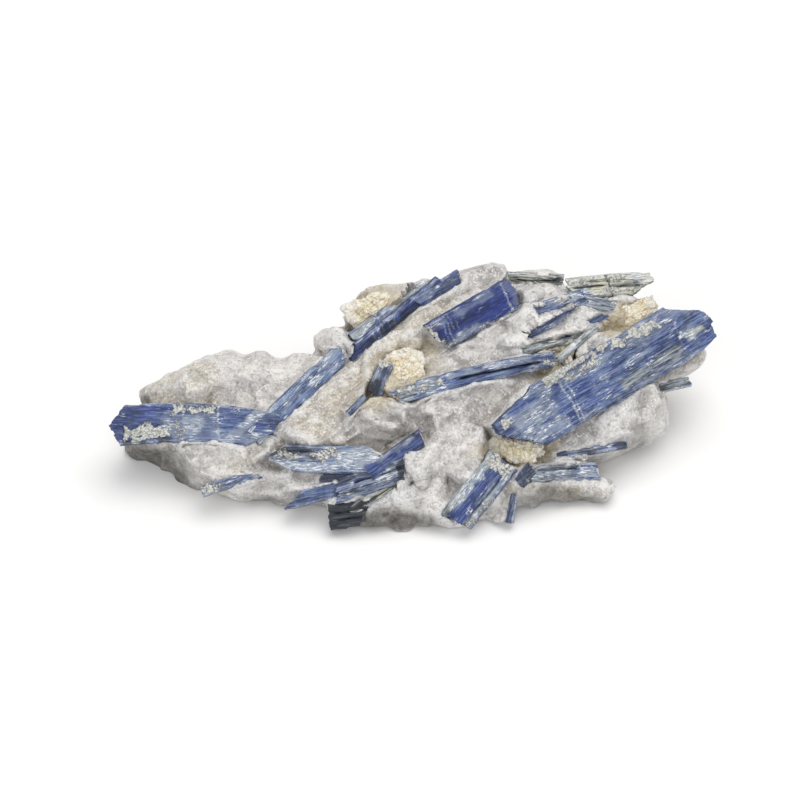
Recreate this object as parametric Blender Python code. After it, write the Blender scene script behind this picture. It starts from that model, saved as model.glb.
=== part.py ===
"""Kyanite blade cluster: blue kyanite blades grown through a slab of white quartz.

Run with: blender --background --python part.py

The stone lies on the flat of its underside. The origin is on that flat, +X runs along
the stone, +Y to its back and +Z up. The blades and the lumps of quartz are laid out in the
display frame, in millimetres: u along the stone, v up its sloping face, w out of that face.
The display frame leans back by DISPLAY_TILT, so its w axis points at a viewer who looks
down on the front of the stone at that angle.
"""

import math
import random
from collections import namedtuple

import bmesh
import bpy
from mathutils import Matrix, Vector

MM = 0.001

# Driving dimensions, in millimetres and degrees.
DISPLAY_TILT = 45.0
FRONT_TO_ORIGIN = 30.0
CONTACT_GAP = 0.3
FLOOR_BLOCK_SIZE = 400.0

# Quartz lumps: how many flat breaks shape each one, and how deep they bite, as a share
# of its half size.
LUMP_BREAKS = 15
BREAK_DEPTH = (0.80, 0.97)
BREAK_SCATTER = 0.34

# Blades: the range of the strips' widths against each other, the side ridge's share of the
# thickness, how far a strip may sit below its neighbours, the width of the step between two
# strips, and the stations of a bent blade.
STRIP_WEIGHT = (0.6, 1.4)
SIDE_RIDGE = 0.12
LOW_STRIP = 0.20
HIGH_STRIP = 0.06
STEP_WIDTH = 0.10
BENT_STATIONS = 3

# A face that bends more than this, in radians, is split into flat ones.
FLAT_WITHIN = 0.0005

# A socket is open this far in front of its blade's broad face, and widens by the flare.
SOCKET_OPENING = 14.0
SOCKET_FLARE = 1.25

# Mica crusts: plates about this large, thick and tilted (in radians), fused on a low mound.
# They sit at PLATE_REACH of the way out to its rim, and the quartz around it is cleared.
MOUND_BREAKS = 10
PLATE_RADIUS = (1.6, 2.8)
PLATE_THICKNESS = (0.5, 0.9)
PLATE_TILT = 0.9
PLATE_SINK = 0.5
PLATE_REACH = (0.35, 0.75)
POCKET_GROW = 0.5

Lump = namedtuple("Lump", "u v front half_u half_v half_w turn flats", defaults=((),))
Core = namedtuple("Core", "x y z half_x half_y half_z turn")
Flat = namedtuple("Flat", "point facing")
Blade = namedtuple(
    "Blade", "name start end width thick roll bow strips ragged start_cut end_cut")
Column = namedtuple("Column", "share drop rise back front")
Mica = namedtuple("Mica", "name u v front half_u half_v half_w turn plates")

# A blade's end that is broken off straight. A cut is a list of (place across the width, from
# -0.5 to 0.5, how far the end is set back there).
SQUARE = ((-0.5, 0.0), (0.5, 0.0))

# Two flat cleavages that meet in the sharp edge at the left end, as a point and the way
# each one faces, in the display frame.
LEFT_CLEAVAGE = (
    Flat((-58.5, 21.5, -2.0), (-0.83, -0.47, 0.20)),
    Flat((-48.0, 16.0, 0.6), (-0.10, -0.22, 0.97)),
)

# Lumps of the display face: centre u and v, foremost w, half sizes, turn in the face.
FACE_LUMPS = (
    # left end, above and below the broad left blade
    Lump(-53.5, 36.2, -5, 15, 7.2, 11, 17),
    Lump(-38, 37, -4, 8.5, 8, 10, 15),
    Lump(-62.5, 30.6, -8, 6, 3.2, 9, 25),
    Lump(-62, 19.5, -10, 11, 5.5, 9, -24),
    Lump(-54, 14, -8, 7, 5, 8, -35),
    Lump(-47, 17, 2, 14, 8.5, 11, -30, LEFT_CLEAVAGE),
    Lump(-41, 12, 0, 7, 4.5, 8, 8),
    Lump(-31, 13, 0, 9, 5.5, 8, -12),
    Lump(-29, 9.5, -2, 9, 3.6, 7, 5),
    # bumps along the upper edge, left to right
    Lump(-29, 41, -6, 5.5, 4.5, 9, 25),
    Lump(-20, 48, -10, 5.0, 3.4, 9, 10),
    Lump(-9, 56, -12, 8, 5.5, 10, 20),
    Lump(-3, 59, -14.5, 8, 3.6, 8, 10),
    Lump(1, 55, -13, 11, 6, 10, 36),
    Lump(13, 60.5, -15, 7.5, 5, 9, 30),
    Lump(20, 65, -17, 5, 2.8, 7, 4),
    Lump(31, 60, -14, 8.5, 6, 9, -12),
    Lump(33, 63.5, -17, 5, 2.4, 7, -10),
    # the cream ridge between the upper and the middle blades
    Lump(-25, 28.5, 1, 12, 5.0, 10, 38),
    Lump(-15.5, 36.5, -1, 11, 6.0, 11, 40),
    Lump(-3, 48.5, -6, 13, 6.5, 11, 40),
    # middle of the face
    Lump(22, 47, -7, 16, 8, 12, 30),
    Lump(12, 42, -5, 11, 6.5, 11, 20),
    Lump(37, 51, -9, 12, 7.5, 11, 15),
    Lump(14.5, 33, -0.5, 14, 7, 12, 12),
    Lump(6, 31, 2, 7, 4, 8, 12),
    Lump(-8, 28, 2, 12, 6, 12, 15),
    Lump(-20, 34, -0.5, 8, 3.2, 8, 44),
    Lump(-22, 23.5, 1, 13, 4.5, 10, 8),
    Lump(11, 22, 2, 11, 7.5, 11, -12),
    Lump(9, 25, 3, 7.5, 4.4, 8, -25),
    Lump(3, 16.5, 4, 7.5, 6, 8, 20),
    # lower edge of the middle
    Lump(-16, 12.5, -1, 13, 8, 10, 20),
    Lump(-10, 4.8, 1.5, 10, 5.2, 8, 4),
    Lump(-3.5, 2.6, 2.0, 5, 3, 6, -10),
    Lump(2.5, 10, 3, 8.5, 8, 9, -20),
    Lump(10, 4, 2.5, 6.5, 4.5, 7, 5),
    Lump(15, 12, 1, 9, 8.5, 9, 30),
    Lump(21, 8.5, 1.5, 5.5, 7, 8, 25),
    # under and in front of the broad right blade
    Lump(37, 22, -1, 10, 5.5, 10, 16),
    Lump(50, 29, -3, 15, 7.5, 11, 26),
    Lump(57.5, 32, -4, 6.5, 8.5, 10, 8),
    Lump(47, 40, -5, 20, 9, 12, 32),
    Lump(61, 46, -9, 11, 8, 10, 30),
    Lump(68, 44.5, -11, 6.5, 5.5, 7, 40),
    Lump(51, 54.5, -13, 10, 4.5, 9, 12),
    # the low lobe at the lower right
    Lump(37, 12, -2, 12, 4.6, 7, -4),
    Lump(45, 10.8, -3.5, 5.8, 4.4, 6, -20),
    Lump(28, 11, -2, 7, 5, 7, 10),
)

# Blocks of the hidden inside and back, in the stone's own frame: centre and half sizes.
CORE_LUMPS = (
    Core(-50, 0, 6.5, 18, 13, 10.5, 10),
    Core(-27, 3, 8, 20, 18, 12, 0),
    Core(-2, 10, 9, 25, 21, 15.5, 10),
    Core(28, 12, 9.5, 23, 19, 15, -10),
    Core(46, 12, 9, 15, 15, 13, 20),
    Core(-5, -12.5, 4.5, 20, 10, 7, 0),
    Core(22, -13, 4, 14, 9, 7, 0),
)

BLADES = {
    "crossed_blades": (
        Blade("broad", (-76.2, 26.4, -3.5), (-33, 24.6, 0.5), 9.6, 4.0, -12, 1.8, 4, 0.8,
              ((-0.5, 3.2), (0.0, 0.0), (0.5, 3.6)), ((-0.5, 8.0), (0.0, 0.6), (0.5, 0.0))),
        Blade("diagonal", (-40, 23.5, 0.8), (-16.8, 45.9, -7.0), 4.9, 3.2, 18, 0, 2, 0.3,
              SQUARE, ((-0.5, 1.6), (0.1, 0.0), (0.5, 1.2))),
    ),
    "upper_bundle": (
        Blade("dark", (-16.4, 43.9, -5.8), (7, 63.0, -16.0), 3.0, 3.4, 20, 0, 2, 1.2,
              ((-0.5, 0.0), (0.5, 2.5)), SQUARE),
        Blade("pale", (-15.5, 47.8, -9.5), (4, 62.2, -17.0), 3.4, 3.0, -10, 0, 2, 1.2,
              SQUARE, SQUARE),
        Blade("tip", (0, 57.0, -12.5), (12.5, 64.6, -18.0), 3.4, 3.0, 6, 0, 2, 0.8,
              ((-0.5, 2.0), (0.5, 0.0)), ((-0.5, 1.0), (0.5, 0.0))),
    ),
    "royal_blade": (
        Blade("royal", (4.2, 48.0, -7.2), (26.4, 60.8, -13.2), 7.6, 4.2, 10, 0, 4, 0.8,
              ((-0.5, 2.4), (0.5, 0.0)), ((-0.5, 1.6), (0.1, 0.0), (0.5, 1.0))),
    ),
    "long_middle_blade": (
        Blade("long", (-6.4, 33.5, 1.2), (37.5, 43.8, -6.0), 4.0, 3.0, 8, 0.8, 3, 2.2,
              ((-0.5, 2.5), (0.5, 0.0)), SQUARE),
    ),
    "broad_right_blade": (
        Blade("broad", (21.8, 23.6, 4.6), (74.4, 54.5, -9.8), 14.2, 4.4, 6, 0, 6, 1.0,
              ((-0.5, 9.5), (-0.03, 0.3), (0.27, 0.0), (0.5, 12.5)),
              ((-0.5, 8.0), (-0.4, 0.8), (-0.12, 0.0), (0.2, 3.6), (0.5, 9.0))),
    ),
    "upper_right_bundle": (
        Blade("blue", (30.5, 55.4, -10.5), (45.0, 60.0, -13.5), 3.2, 3.0, 8, 0, 2, 1.0,
              SQUARE, SQUARE),
        Blade("band", (38.5, 58.6, -12.4), (51.0, 56.2, -13.0), 3.8, 3.0, 0, 0, 2, 0.8,
              SQUARE, SQUARE),
        Blade("fork", (27.2, 48.8, -8.4), (44.0, 58.6, -12.6), 2.8, 2.6, 12, -0.6, 2, 0.5,
              ((-0.5, 3.0), (0.0, 0.0), (0.5, 4.0)), SQUARE),
        Blade("grey", (37.5, 60.6, -15.0), (61.8, 62.4, -15.0), 5.2, 4.4, -6, 0.4, 4, 1.8,
              ((-0.5, 4.0), (0.5, 0.0)), ((-0.5, 5.0), (0.2, 0.0), (0.5, 1.0))),
    ),
    "back_blade": (
        Blade("back", (24, 64.0, -21.5), (38.8, 63.4, -22.0), 3.0, 2.4, 10, 0, 2, 0.8,
              SQUARE, SQUARE),
    ),
    "short_right_blade": (
        Blade("short", (26.4, 45.5, -5.4), (43.2, 49.4, -8.6), 2.4, 2.4, 12, 0.5, 2, 0.8,
              ((-0.5, 1.5), (0.5, 0.0)), SQUARE),
    ),
    "rib_blade": (
        Blade("rib", (36.2, 43.0, -1.6), (46.4, 51.6, -6.6), 1.5, 2.2, -10, 0, 1, 0.3,
              SQUARE, SQUARE),
    ),
    "chip_blade": (
        Blade("chip", (42.6, 51.4, -8.4), (49.6, 55.2, -10.6), 2.8, 2.0, 10, 0, 1, 0.3,
              ((-0.5, 2.4), (0.5, 0.0)), ((-0.5, 0.0), (0.5, 2.4))),
    ),
    "dark_nub": (
        Blade("nub", (-9.6, 33.4, 1.4), (-6.4, 42.6, -2.2), 3.6, 3.0, -25, 0, 2, 0.8,
              ((-0.5, 0.0), (0.5, 1.5)), SQUARE),
    ),
    "edge_sliver": (
        Blade("edge", (-16.2, 29.6, 1.8), (-11.6, 34.4, 0.8), 1.3, 2.4, 30, 0, 1, 0.3,
              SQUARE, SQUARE),
    ),
    "lower_bundle": (
        Blade("left", (-36.6, 19.2, 1.0), (-6.8, 18.6, 3.2), 6.4, 3.4, -6, -0.5, 3, 1.2,
              ((-0.5, 6.5), (-0.05, 0.0), (0.5, 5.0)), ((-0.5, 2.0), (0.0, 0.0), (0.5, 3.0))),
        Blade("bright", (-11.2, 14.8, 3.6), (3.2, 24.3, 2.8), 3.8, 3.4, 6, 0, 2, 0.6,
              SQUARE, ((-0.5, 1.2), (0.5, 0.0))),
        Blade("hollow", (-23.5, 14.6, 0.6), (-6.0, 15.8, 2.0), 4.4, 3.0, 10, 0, 2, 1.8,
              SQUARE, SQUARE),
        Blade("middle", (-21.0, 9.6, 2.4), (-0.6, 16.3, 3.6), 5.4, 3.8, -8, 0, 3, 1.6,
              ((-0.5, 0.0), (0.5, 3.0)), ((-0.5, 1.0), (0.5, 0.0))),
        Blade("tail", (-32.2, 7.6, 0.2), (-17.0, 11.2, 2.2), 3.6, 3.2, -8, 0, 2, 0.8,
              ((-0.5, 0.0), (0.5, 5.0)), SQUARE),
        Blade("low", (-15.6, 4.8, 1.8), (-2.6, 13.2, 3.0), 3.2, 3.0, -16, 0, 2, 1.2,
              SQUARE, ((-0.5, 1.5), (0.5, 0.0))),
        Blade("foot", (-21.4, 4.0, 1.6), (-9.6, 5.4, 2.0), 6.2, 3.6, -4, 0, 2, 1.6,
              SQUARE, ((-0.5, 3.0), (0.5, 0.0))),
        Blade("heel", (-20.4, 2.4, 0.6), (-12.0, 7.6, 2.4), 3.0, 3.2, 14, 0, 2, 0.8,
              SQUARE, SQUARE),
    ),
    "lower_middle_blade": (
        Blade("bottom", (23.2, 18.4, 1.6), (9.8, 1.8, 2.6), 8.0, 3.8, 4, 0, 4, 0.6,
              SQUARE, ((-0.5, 0.4), (0.5, 2.0))),
    ),
    "lower_right_bundle": (
        Blade("teal", (28.4, 14.2, -1.6), (47.8, 15.4, -5.0), 4.6, 2.8, -14, 0, 3, 1.4,
              SQUARE, ((-0.5, 0.0), (0.5, 1.5))),
        Blade("plate", (26.4, 12.0, -0.6), (30.6, 16.6, -1.8), 4.0, 2.0, -6, 0, 1, 0.3,
              SQUARE, ((-0.5, 1.0), (0.5, 0.0))),
    ),
    "ledge_sliver": (
        Blade("ledge", (35.6, 19.0, -3.2), (54.0, 22.2, -7.6), 2.0, 2.4, -24, 0, 1, 0.5,
              SQUARE, SQUARE),
    ),
    "left_sliver": (
        Blade("left", (-52.6, 10.4, 0.4), (-37.2, 15.4, 1.8), 2.8, 2.4, -12, 0, 2, 0.6,
              SQUARE, ((-0.5, 0.0), (-0.1, 1.0), (0.5, 9.0))),
    ),
    "far_right_blade": (
        Blade("far", (62.0, 36.2, -9.6), (70.0, 38.0, -12.0), 2.2, 2.6, 0, 0, 2, 0.6,
              SQUARE, SQUARE),
    ),
    "foot_sliver": (
        Blade("foot", (24.4, 2.4, 0.2), (25.8, 9.8, -0.6), 1.6, 3.0, -20, 0, 1, 0.3,
              SQUARE, SQUARE),
    ),
}

MICA = (
    Mica("mica_middle", -3.2, 39.6, 1.8, 6.4, 5.2, 4.6, 45, 4),
    Mica("mica_lower", -20.5, 19.0, 6.0, 5.4, 3.4, 4.6, 12, 4),
    Mica("mica_right", 26.5, 21.0, 5.0, 7.4, 3.0, 4.4, 5, 5),
    Mica("mica_upper_left", -9.9, 56.0, -10.4, 6.2, 4.6, 4.0, 25, 4),
    Mica("mica_upper_right", 55.0, 54.6, -9.6, 6.6, 2.4, 4.0, 24, 4),
    Mica("mica_between", 36.0, 43.6, -4.0, 5.0, 3.2, 3.8, 35, 4),
)

MATERIALS = {
    "quartz": ((0.78, 0.75, 0.71, 1.0), 0.45),
    "kyanite": ((0.07, 0.13, 0.36, 1.0), 0.35),
    "mica": ((0.74, 0.66, 0.46, 1.0), 0.55),
}


def display(u, v, w):
    """A place of the display frame, in millimetres, as a point of the stone's frame in metres."""
    tilt = math.radians(DISPLAY_TILT)
    y = v * math.sin(tilt) - w * math.cos(tilt) - FRONT_TO_ORIGIN
    z = v * math.cos(tilt) + w * math.sin(tilt)
    return Vector((u, y, z)) * MM


def display_turn():
    """The turn that carries the display frame's u, v and w axes onto the stone's frame."""
    return Matrix.Rotation(math.radians(90.0 - DISPLAY_TILT), 4, "X")


def clear_scene():
    for old in list(bpy.data.objects):
        bpy.data.objects.remove(old)


def material(name):
    """A Principled BSDF with the mineral's colour and roughness."""
    found = bpy.data.materials.get(name)
    if found:
        return found
    colour, roughness = MATERIALS[name]
    made = bpy.data.materials.new(name)
    made.use_nodes = True
    shader = made.node_tree.nodes["Principled BSDF"]
    shader.inputs["Base Color"].default_value = colour
    shader.inputs["Roughness"].default_value = roughness
    shader.inputs["Metallic"].default_value = 0.0
    made.diffuse_color = colour
    return made


def new_object(name, bm, mineral):
    mesh = bpy.data.meshes.new(name)
    bm.to_mesh(mesh)
    bm.free()
    made = bpy.data.objects.new(name, mesh)
    bpy.context.scene.collection.objects.link(made)
    made.data.materials.append(material(mineral))
    return made


# Joining and cutting


def apply_modifiers(obj):
    """Replaces the object's mesh by the one its modifiers make."""
    graph = bpy.context.evaluated_depsgraph_get()
    mesh = bpy.data.meshes.new_from_object(obj.evaluated_get(graph))
    obj.modifiers.clear()
    obj.data = mesh


def boolean(target, others, operation):
    """Joins the other objects to the target or cuts them from it, and removes them."""
    group = bpy.data.collections.new(operation)
    bpy.context.scene.collection.children.link(group)
    for other in others:
        bpy.context.scene.collection.objects.unlink(other)
        group.objects.link(other)
    step = target.modifiers.new(operation, "BOOLEAN")
    step.operation = operation
    step.operand_type = "COLLECTION"
    step.collection = group
    step.solver = "EXACT"
    bpy.context.view_layer.update()
    apply_modifiers(target)
    for other in others:
        bpy.data.objects.remove(other)
    bpy.data.collections.remove(group)


def bodies_of(bm):
    """The mesh's separate bodies, as lists of faces."""
    unseen = set(bm.faces)
    bodies = []
    while unseen:
        stack = [unseen.pop()]
        body = list(stack)
        while stack:
            for edge in stack.pop().edges:
                fresh = [f for f in edge.link_faces if f in unseen]
                unseen.difference_update(fresh)
                stack.extend(fresh)
                body.extend(fresh)
        bodies.append(body)
    return bodies


def body_volume(faces):
    """Volume inside a closed set of triangles."""
    total = 0.0
    for face in faces:
        a, b, c = (v.co for v in face.verts)
        total += a.dot(b.cross(c)) / 6.0
    return total


def keep_largest_body(obj):
    """Drops the crumbs that a cut has parted from the main body."""
    bm = bmesh.new()
    bm.from_mesh(obj.data)
    bmesh.ops.triangulate(bm, faces=bm.faces[:])
    bodies = sorted(bodies_of(bm), key=body_volume)
    for crumb in bodies[:-1]:
        bmesh.ops.delete(bm, geom=crumb, context="FACES")
    bm.to_mesh(obj.data)
    bm.free()


# Broken blocks, of quartz and of mica


def even_directions(rng, count):
    """Directions spread evenly over a sphere, each moved a little at random."""
    golden = math.pi * (3.0 - math.sqrt(5.0))
    spin = rng.uniform(0.0, 2.0 * math.pi)
    for i in range(count):
        height = 1.0 - 2.0 * (i + 0.5) / count
        ring = math.sqrt(1.0 - height * height)
        angle = i * golden + spin
        direction = Vector((ring * math.cos(angle), ring * math.sin(angle), height))
        scatter = Vector([rng.uniform(-BREAK_SCATTER, BREAK_SCATTER) for _ in range(3)])
        yield (direction + scatter).normalized()


def chip(bm, point, facing):
    """Breaks off what lies past a plane, and closes the break with a flat face."""
    geom = bm.verts[:] + bm.edges[:] + bm.faces[:]
    cut = bmesh.ops.bisect_plane(
        bm, geom=geom, plane_co=point, plane_no=facing, clear_outer=True)
    rim = [e for e in cut["geom_cut"] if isinstance(e, bmesh.types.BMEdge)]
    if rim:
        bmesh.ops.edgeloop_fill(bm, edges=rim)


def hull_of(points):
    """The convex solid around some points, all in triangles."""
    bm = bmesh.new()
    for point in points:
        bm.verts.new(point)
    hull = bmesh.ops.convex_hull(bm, input=bm.verts[:], use_existing_faces=False)
    spare = [g for g in hull["geom_interior"] if isinstance(g, bmesh.types.BMVert)]
    bmesh.ops.delete(bm, geom=spare, context="VERTS")
    bmesh.ops.recalc_face_normals(bm, faces=bm.faces[:])
    return bm


def broken_block(rng, breaks):
    """A block about the size of the unit ball, bounded by flat breaks."""
    bm = bmesh.new()
    bmesh.ops.create_cube(bm, size=2.0)
    for direction in even_directions(rng, breaks):
        chip(bm, direction * rng.uniform(*BREAK_DEPTH), direction)
    return bm


def block_object(name, seed, matrix, mineral, breaks=LUMP_BREAKS, flats=()):
    """A broken block in its place. The flats are cleavages that it has to end on."""
    bm = broken_block(random.Random(seed), breaks)
    bmesh.ops.transform(bm, matrix=matrix, verts=bm.verts[:])
    for flat in flats:
        chip(bm, display(*flat.point), display_turn() @ Vector(flat.facing))
    bmesh.ops.recalc_face_normals(bm, faces=bm.faces[:])
    return new_object(name, bm, mineral)


def face_matrix(piece):
    """Places a unit block at a lump's or a mica crust's centre, in its size and turn."""
    centre = display(piece.u, piece.v, piece.front - piece.half_w)
    turn = display_turn() @ Matrix.Rotation(math.radians(piece.turn), 4, "Z")
    size = Matrix.Diagonal((piece.half_u, piece.half_v, piece.half_w)).to_4x4()
    return Matrix.Translation(centre) @ turn @ Matrix.Scale(MM, 4) @ size


def core_matrix(core):
    """Places a unit block as one of the hidden blocks."""
    centre = Vector((core.x, core.y, core.z)) * MM
    turn = Matrix.Rotation(math.radians(core.turn), 4, "Z")
    size = Matrix.Diagonal((core.half_x, core.half_y, core.half_z)).to_4x4()
    return Matrix.Translation(centre) @ turn @ Matrix.Scale(MM, 4) @ size


# Blades and their sockets


def cut_at(profile, share):
    """How far a blade's end is set back at a place across its width."""
    for (s0, d0), (s1, d1) in zip(profile, profile[1:]):
        if share <= s1:
            return d0 + (d1 - d0) * (share - s0) / (s1 - s0)
    return profile[-1][1]


def blade_length(blade):
    return (display(*blade.end) - display(*blade.start)).length / MM


def blade_matrix(blade):
    """The blade's own frame: x along it from the start, y across it, z out of its broad face."""
    start = display(*blade.start)
    along = (display(*blade.end) - start).normalized()
    outward = display_turn().to_3x3() @ Vector((0.0, 0.0, 1.0))
    outward = (outward - along * outward.dot(along)).normalized()
    outward.rotate(Matrix.Rotation(math.radians(blade.roll), 3, along))
    turn = Matrix((along, outward.cross(along), outward)).transposed().to_4x4()
    return Matrix.Translation(start) @ turn


def strip_edges(blade, rng):
    """Places across the width where one strip ends and the next begins."""
    weights = [rng.uniform(*STRIP_WEIGHT) for _ in range(blade.strips)]
    edges = [-0.5]
    for weight in weights[:-1]:
        edges.append(edges[-1] + weight / sum(weights))
    return [*edges, 0.5]


def strip_shares(blade, low, high):
    """Places across one strip where its outline turns: its sides and the cuts' corners."""
    step = STEP_WIDTH / blade.width
    left = low if low == -0.5 else low + step
    right = high if high == 0.5 else high - step
    corners = [s for s, _ in blade.start_cut + blade.end_cut if left + step < s < right - step]
    return sorted({left, right, *corners})


def strip_columns(blade, rng):
    """The blade's columns across its width. A blade is a stack of strips, each stepped
    against its neighbour and broken off at its own length."""
    edges = strip_edges(blade, rng)
    columns = []
    for i, (low, high) in enumerate(zip(edges, edges[1:])):
        drop = rng.uniform(0.0, LOW_STRIP if i % 2 else HIGH_STRIP) * blade.thick
        rise = rng.uniform(0.0, LOW_STRIP) * blade.thick
        back = rng.uniform(0.0, blade.ragged)
        front = rng.uniform(0.0, blade.ragged)
        for share in strip_shares(blade, low, high):
            start = back + cut_at(blade.start_cut, share)
            end = front + cut_at(blade.end_cut, share)
            columns.append(Column(share, drop, rise, start, end))
    return columns


def plain_columns(blade):
    """The columns of a blade without its strips."""
    corners = {s for s, _ in blade.start_cut + blade.end_cut}
    return [Column(share, 0.0, 0.0, cut_at(blade.start_cut, share), cut_at(blade.end_cut, share))
            for share in sorted(corners)]


def section(columns, blade, grow, opening):
    """The corners round a blade's cross-section, as (column, y, z): a side ridge, the upper
    face, the other side ridge and the lower face. grow moves them all outwards, and opening
    lifts the upper face."""
    width = blade.width + 2.0 * grow
    flare = SOCKET_FLARE if opening else 1.0
    half = blade.thick / 2.0 + grow
    upper = [(c, c.share * width * flare, half - c.drop + opening) for c in columns]
    lower = [(c, c.share * width, c.rise - half) for c in columns]
    ridge = width / 2.0 + SIDE_RIDGE * blade.thick
    first = columns[0]
    last = columns[-1]
    near = (first, -ridge, (first.rise - first.drop) / 2.0)
    far = (last, ridge, (last.rise - last.drop) / 2.0)
    return [near, *upper, far, *reversed(lower)]


def ring_points(corners, share_along, blade, grow):
    """The section's corners at a share of each column's own length."""
    length = blade_length(blade)
    for column, y, z in corners:
        start = column.back - grow
        end = length - column.front + grow
        x = start + (end - start) * share_along
        bend = blade.bow * 4.0 * (x / length) * (1.0 - x / length)
        yield Vector((x, y + bend, z)) * MM


def cap_corners(ring, count):
    """The faces that close a bar's end: one quad between each two columns, and the ridges."""
    uppers = ring[1:1 + count]
    lowers = ring[2 + count:][::-1]
    yield ring[0], lowers[0], uppers[0]
    yield uppers[-1], lowers[-1], ring[1 + count]
    for i in range(count - 1):
        yield uppers[i], lowers[i], lowers[i + 1], uppers[i + 1]


def bar(columns, blade, grow=0.0, opening=0.0):
    """A closed bar with the columns' section, in the blade's own place."""
    bm = bmesh.new()
    corners = section(columns, blade, grow, opening)
    stations = BENT_STATIONS if blade.bow else 1
    rings = []
    for k in range(stations + 1):
        points = ring_points(corners, k / stations, blade, grow)
        rings.append([bm.verts.new(point) for point in points])
    for first, second in zip(rings, rings[1:]):
        for i in range(len(first)):
            bm.faces.new((first[i - 1], first[i], second[i], second[i - 1]))
    for ring in (rings[0], rings[-1]):
        for cap in cap_corners(ring, len(columns)):
            bm.faces.new(cap)
    bmesh.ops.recalc_face_normals(bm, faces=bm.faces[:])
    bmesh.ops.connect_verts_nonplanar(bm, angle_limit=FLAT_WITHIN, faces=bm.faces[:])
    bmesh.ops.transform(bm, matrix=blade_matrix(blade), verts=bm.verts[:])
    return bm


def blade_object(name, blade):
    """One kyanite blade, with its strips."""
    rng = random.Random(name + blade.name)
    return new_object(name, bar(strip_columns(blade, rng), blade), "kyanite")


def socket_objects(opening):
    """What the other minerals leave free for each blade: its outline with the contact gap
    all round and, with an opening, the way out in front of its broad face."""
    return [new_object("socket", bar(plain_columns(blade), blade, CONTACT_GAP, opening), "kyanite")
            for group in BLADES.values() for blade in group]


def kyanite():
    """Every blade, or bundle of blades that grew into each other, as one object each."""
    made = []
    for name, blades in BLADES.items():
        first, *others = [blade_object(name, blade) for blade in blades]
        if others:
            boolean(first, others, "UNION")
            keep_largest_body(first)
        first.name = name
        made.append(first)
    return made


# Mica crusts


def plate_object(rng, place):
    """A thin six-sided plate of mica, tilted at random."""
    bm = bmesh.new()
    radius = rng.uniform(*PLATE_RADIUS) * MM
    thickness = rng.uniform(*PLATE_THICKNESS) * MM
    bmesh.ops.create_cone(
        bm, cap_ends=True, segments=6, radius1=radius, radius2=radius, depth=thickness)
    tilt = Matrix.Rotation(rng.uniform(-PLATE_TILT, PLATE_TILT), 4, "X")
    lean = Matrix.Rotation(rng.uniform(-PLATE_TILT, PLATE_TILT), 4, "Y")
    matrix = Matrix.Translation(place) @ display_turn() @ tilt @ lean
    bmesh.ops.transform(bm, matrix=matrix, verts=bm.verts[:])
    return new_object("plate", bm, "mica")


def plate_places(crust, rng):
    """Places round the mound where its plates sit, partly sunk."""
    turn = Matrix.Rotation(math.radians(crust.turn), 3, "Z")
    for i in range(crust.plates):
        angle = 2.0 * math.pi * (i + rng.uniform(0.0, 0.5)) / crust.plates
        reach = rng.uniform(*PLATE_REACH)
        side = turn @ Vector((crust.half_u * math.cos(angle), crust.half_v * math.sin(angle), 0))
        sink = crust.half_w * (1.0 - math.sqrt(1.0 - reach * reach)) + PLATE_SINK
        yield display(crust.u + side.x * reach, crust.v + side.y * reach, crust.front - sink)


def mica_object(crust):
    """A crust of mica: plates fused on a low mound, clear of the blades."""
    rng = random.Random(crust.name)
    mound = block_object(crust.name, crust.name, face_matrix(crust), "mica", MOUND_BREAKS)
    plates = [plate_object(rng, place) for place in plate_places(crust, rng)]
    boolean(mound, plates, "UNION")
    boolean(mound, socket_objects(0.0), "DIFFERENCE")
    keep_largest_body(mound)
    return mound


def mica_pocket(mica):
    """The seat of a mica crust in the quartz: the solid around it, a little larger."""
    points = [v.co for v in mica.data.vertices]
    centre = sum(points, Vector()) / len(points)
    grown = [p + (p - centre).normalized() * POCKET_GROW * MM for p in points]
    return new_object("pocket", hull_of(grown), "mica")


# Quartz


def floor_block():
    """Everything below the surface that the stone lies on."""
    bm = bmesh.new()
    bmesh.ops.create_cube(bm, size=FLOOR_BLOCK_SIZE * MM)
    drop = Vector((0.0, 0.0, -FLOOR_BLOCK_SIZE / 2.0 * MM))
    bmesh.ops.translate(bm, vec=drop, verts=bm.verts[:])
    return new_object("floor", bm, "quartz")


def quartz(mica):
    """The slab of quartz: lumps grown into one, cut flat below and open for its blades."""
    slab, *others = [
        block_object("quartz_matrix", i, face_matrix(lump), "quartz", flats=lump.flats)
        for i, lump in enumerate(FACE_LUMPS)]
    others += [block_object("core", str(i), core_matrix(core), "quartz")
               for i, core in enumerate(CORE_LUMPS)]
    boolean(slab, others, "UNION")
    boolean(slab, [floor_block()], "DIFFERENCE")
    boolean(slab, socket_objects(SOCKET_OPENING), "DIFFERENCE")
    boolean(slab, [mica_pocket(crust) for crust in mica], "DIFFERENCE")
    keep_largest_body(slab)
    slab.name = "quartz_matrix"
    return slab


def main():
    clear_scene()
    blades = kyanite()
    mica = [mica_object(crust) for crust in MICA]
    slab = quartz(mica)
    for piece in [slab, *mica, *blades]:
        print(piece.name, len(piece.data.polygons))


main()
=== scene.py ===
# %% [markdown]
# # Kyanite blade cluster: the looks
#
# The object is one broken stone of three minerals: white quartz, flat blue blades of kyanite
# grown through it, and crusts of small mica flakes between them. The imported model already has
# every piece in its place, as plain solids with flat faces. This lesson dresses them. The
# quartz gets the lumpy, sugary skin of a fresh break, each blade gets its strips, steps and
# splintered ends, and each crust gets its flakes. Shapes are worked out with numpy, as whole
# arrays, and all colours come from shader nodes.

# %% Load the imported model
import math
import random
from collections import namedtuple

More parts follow.
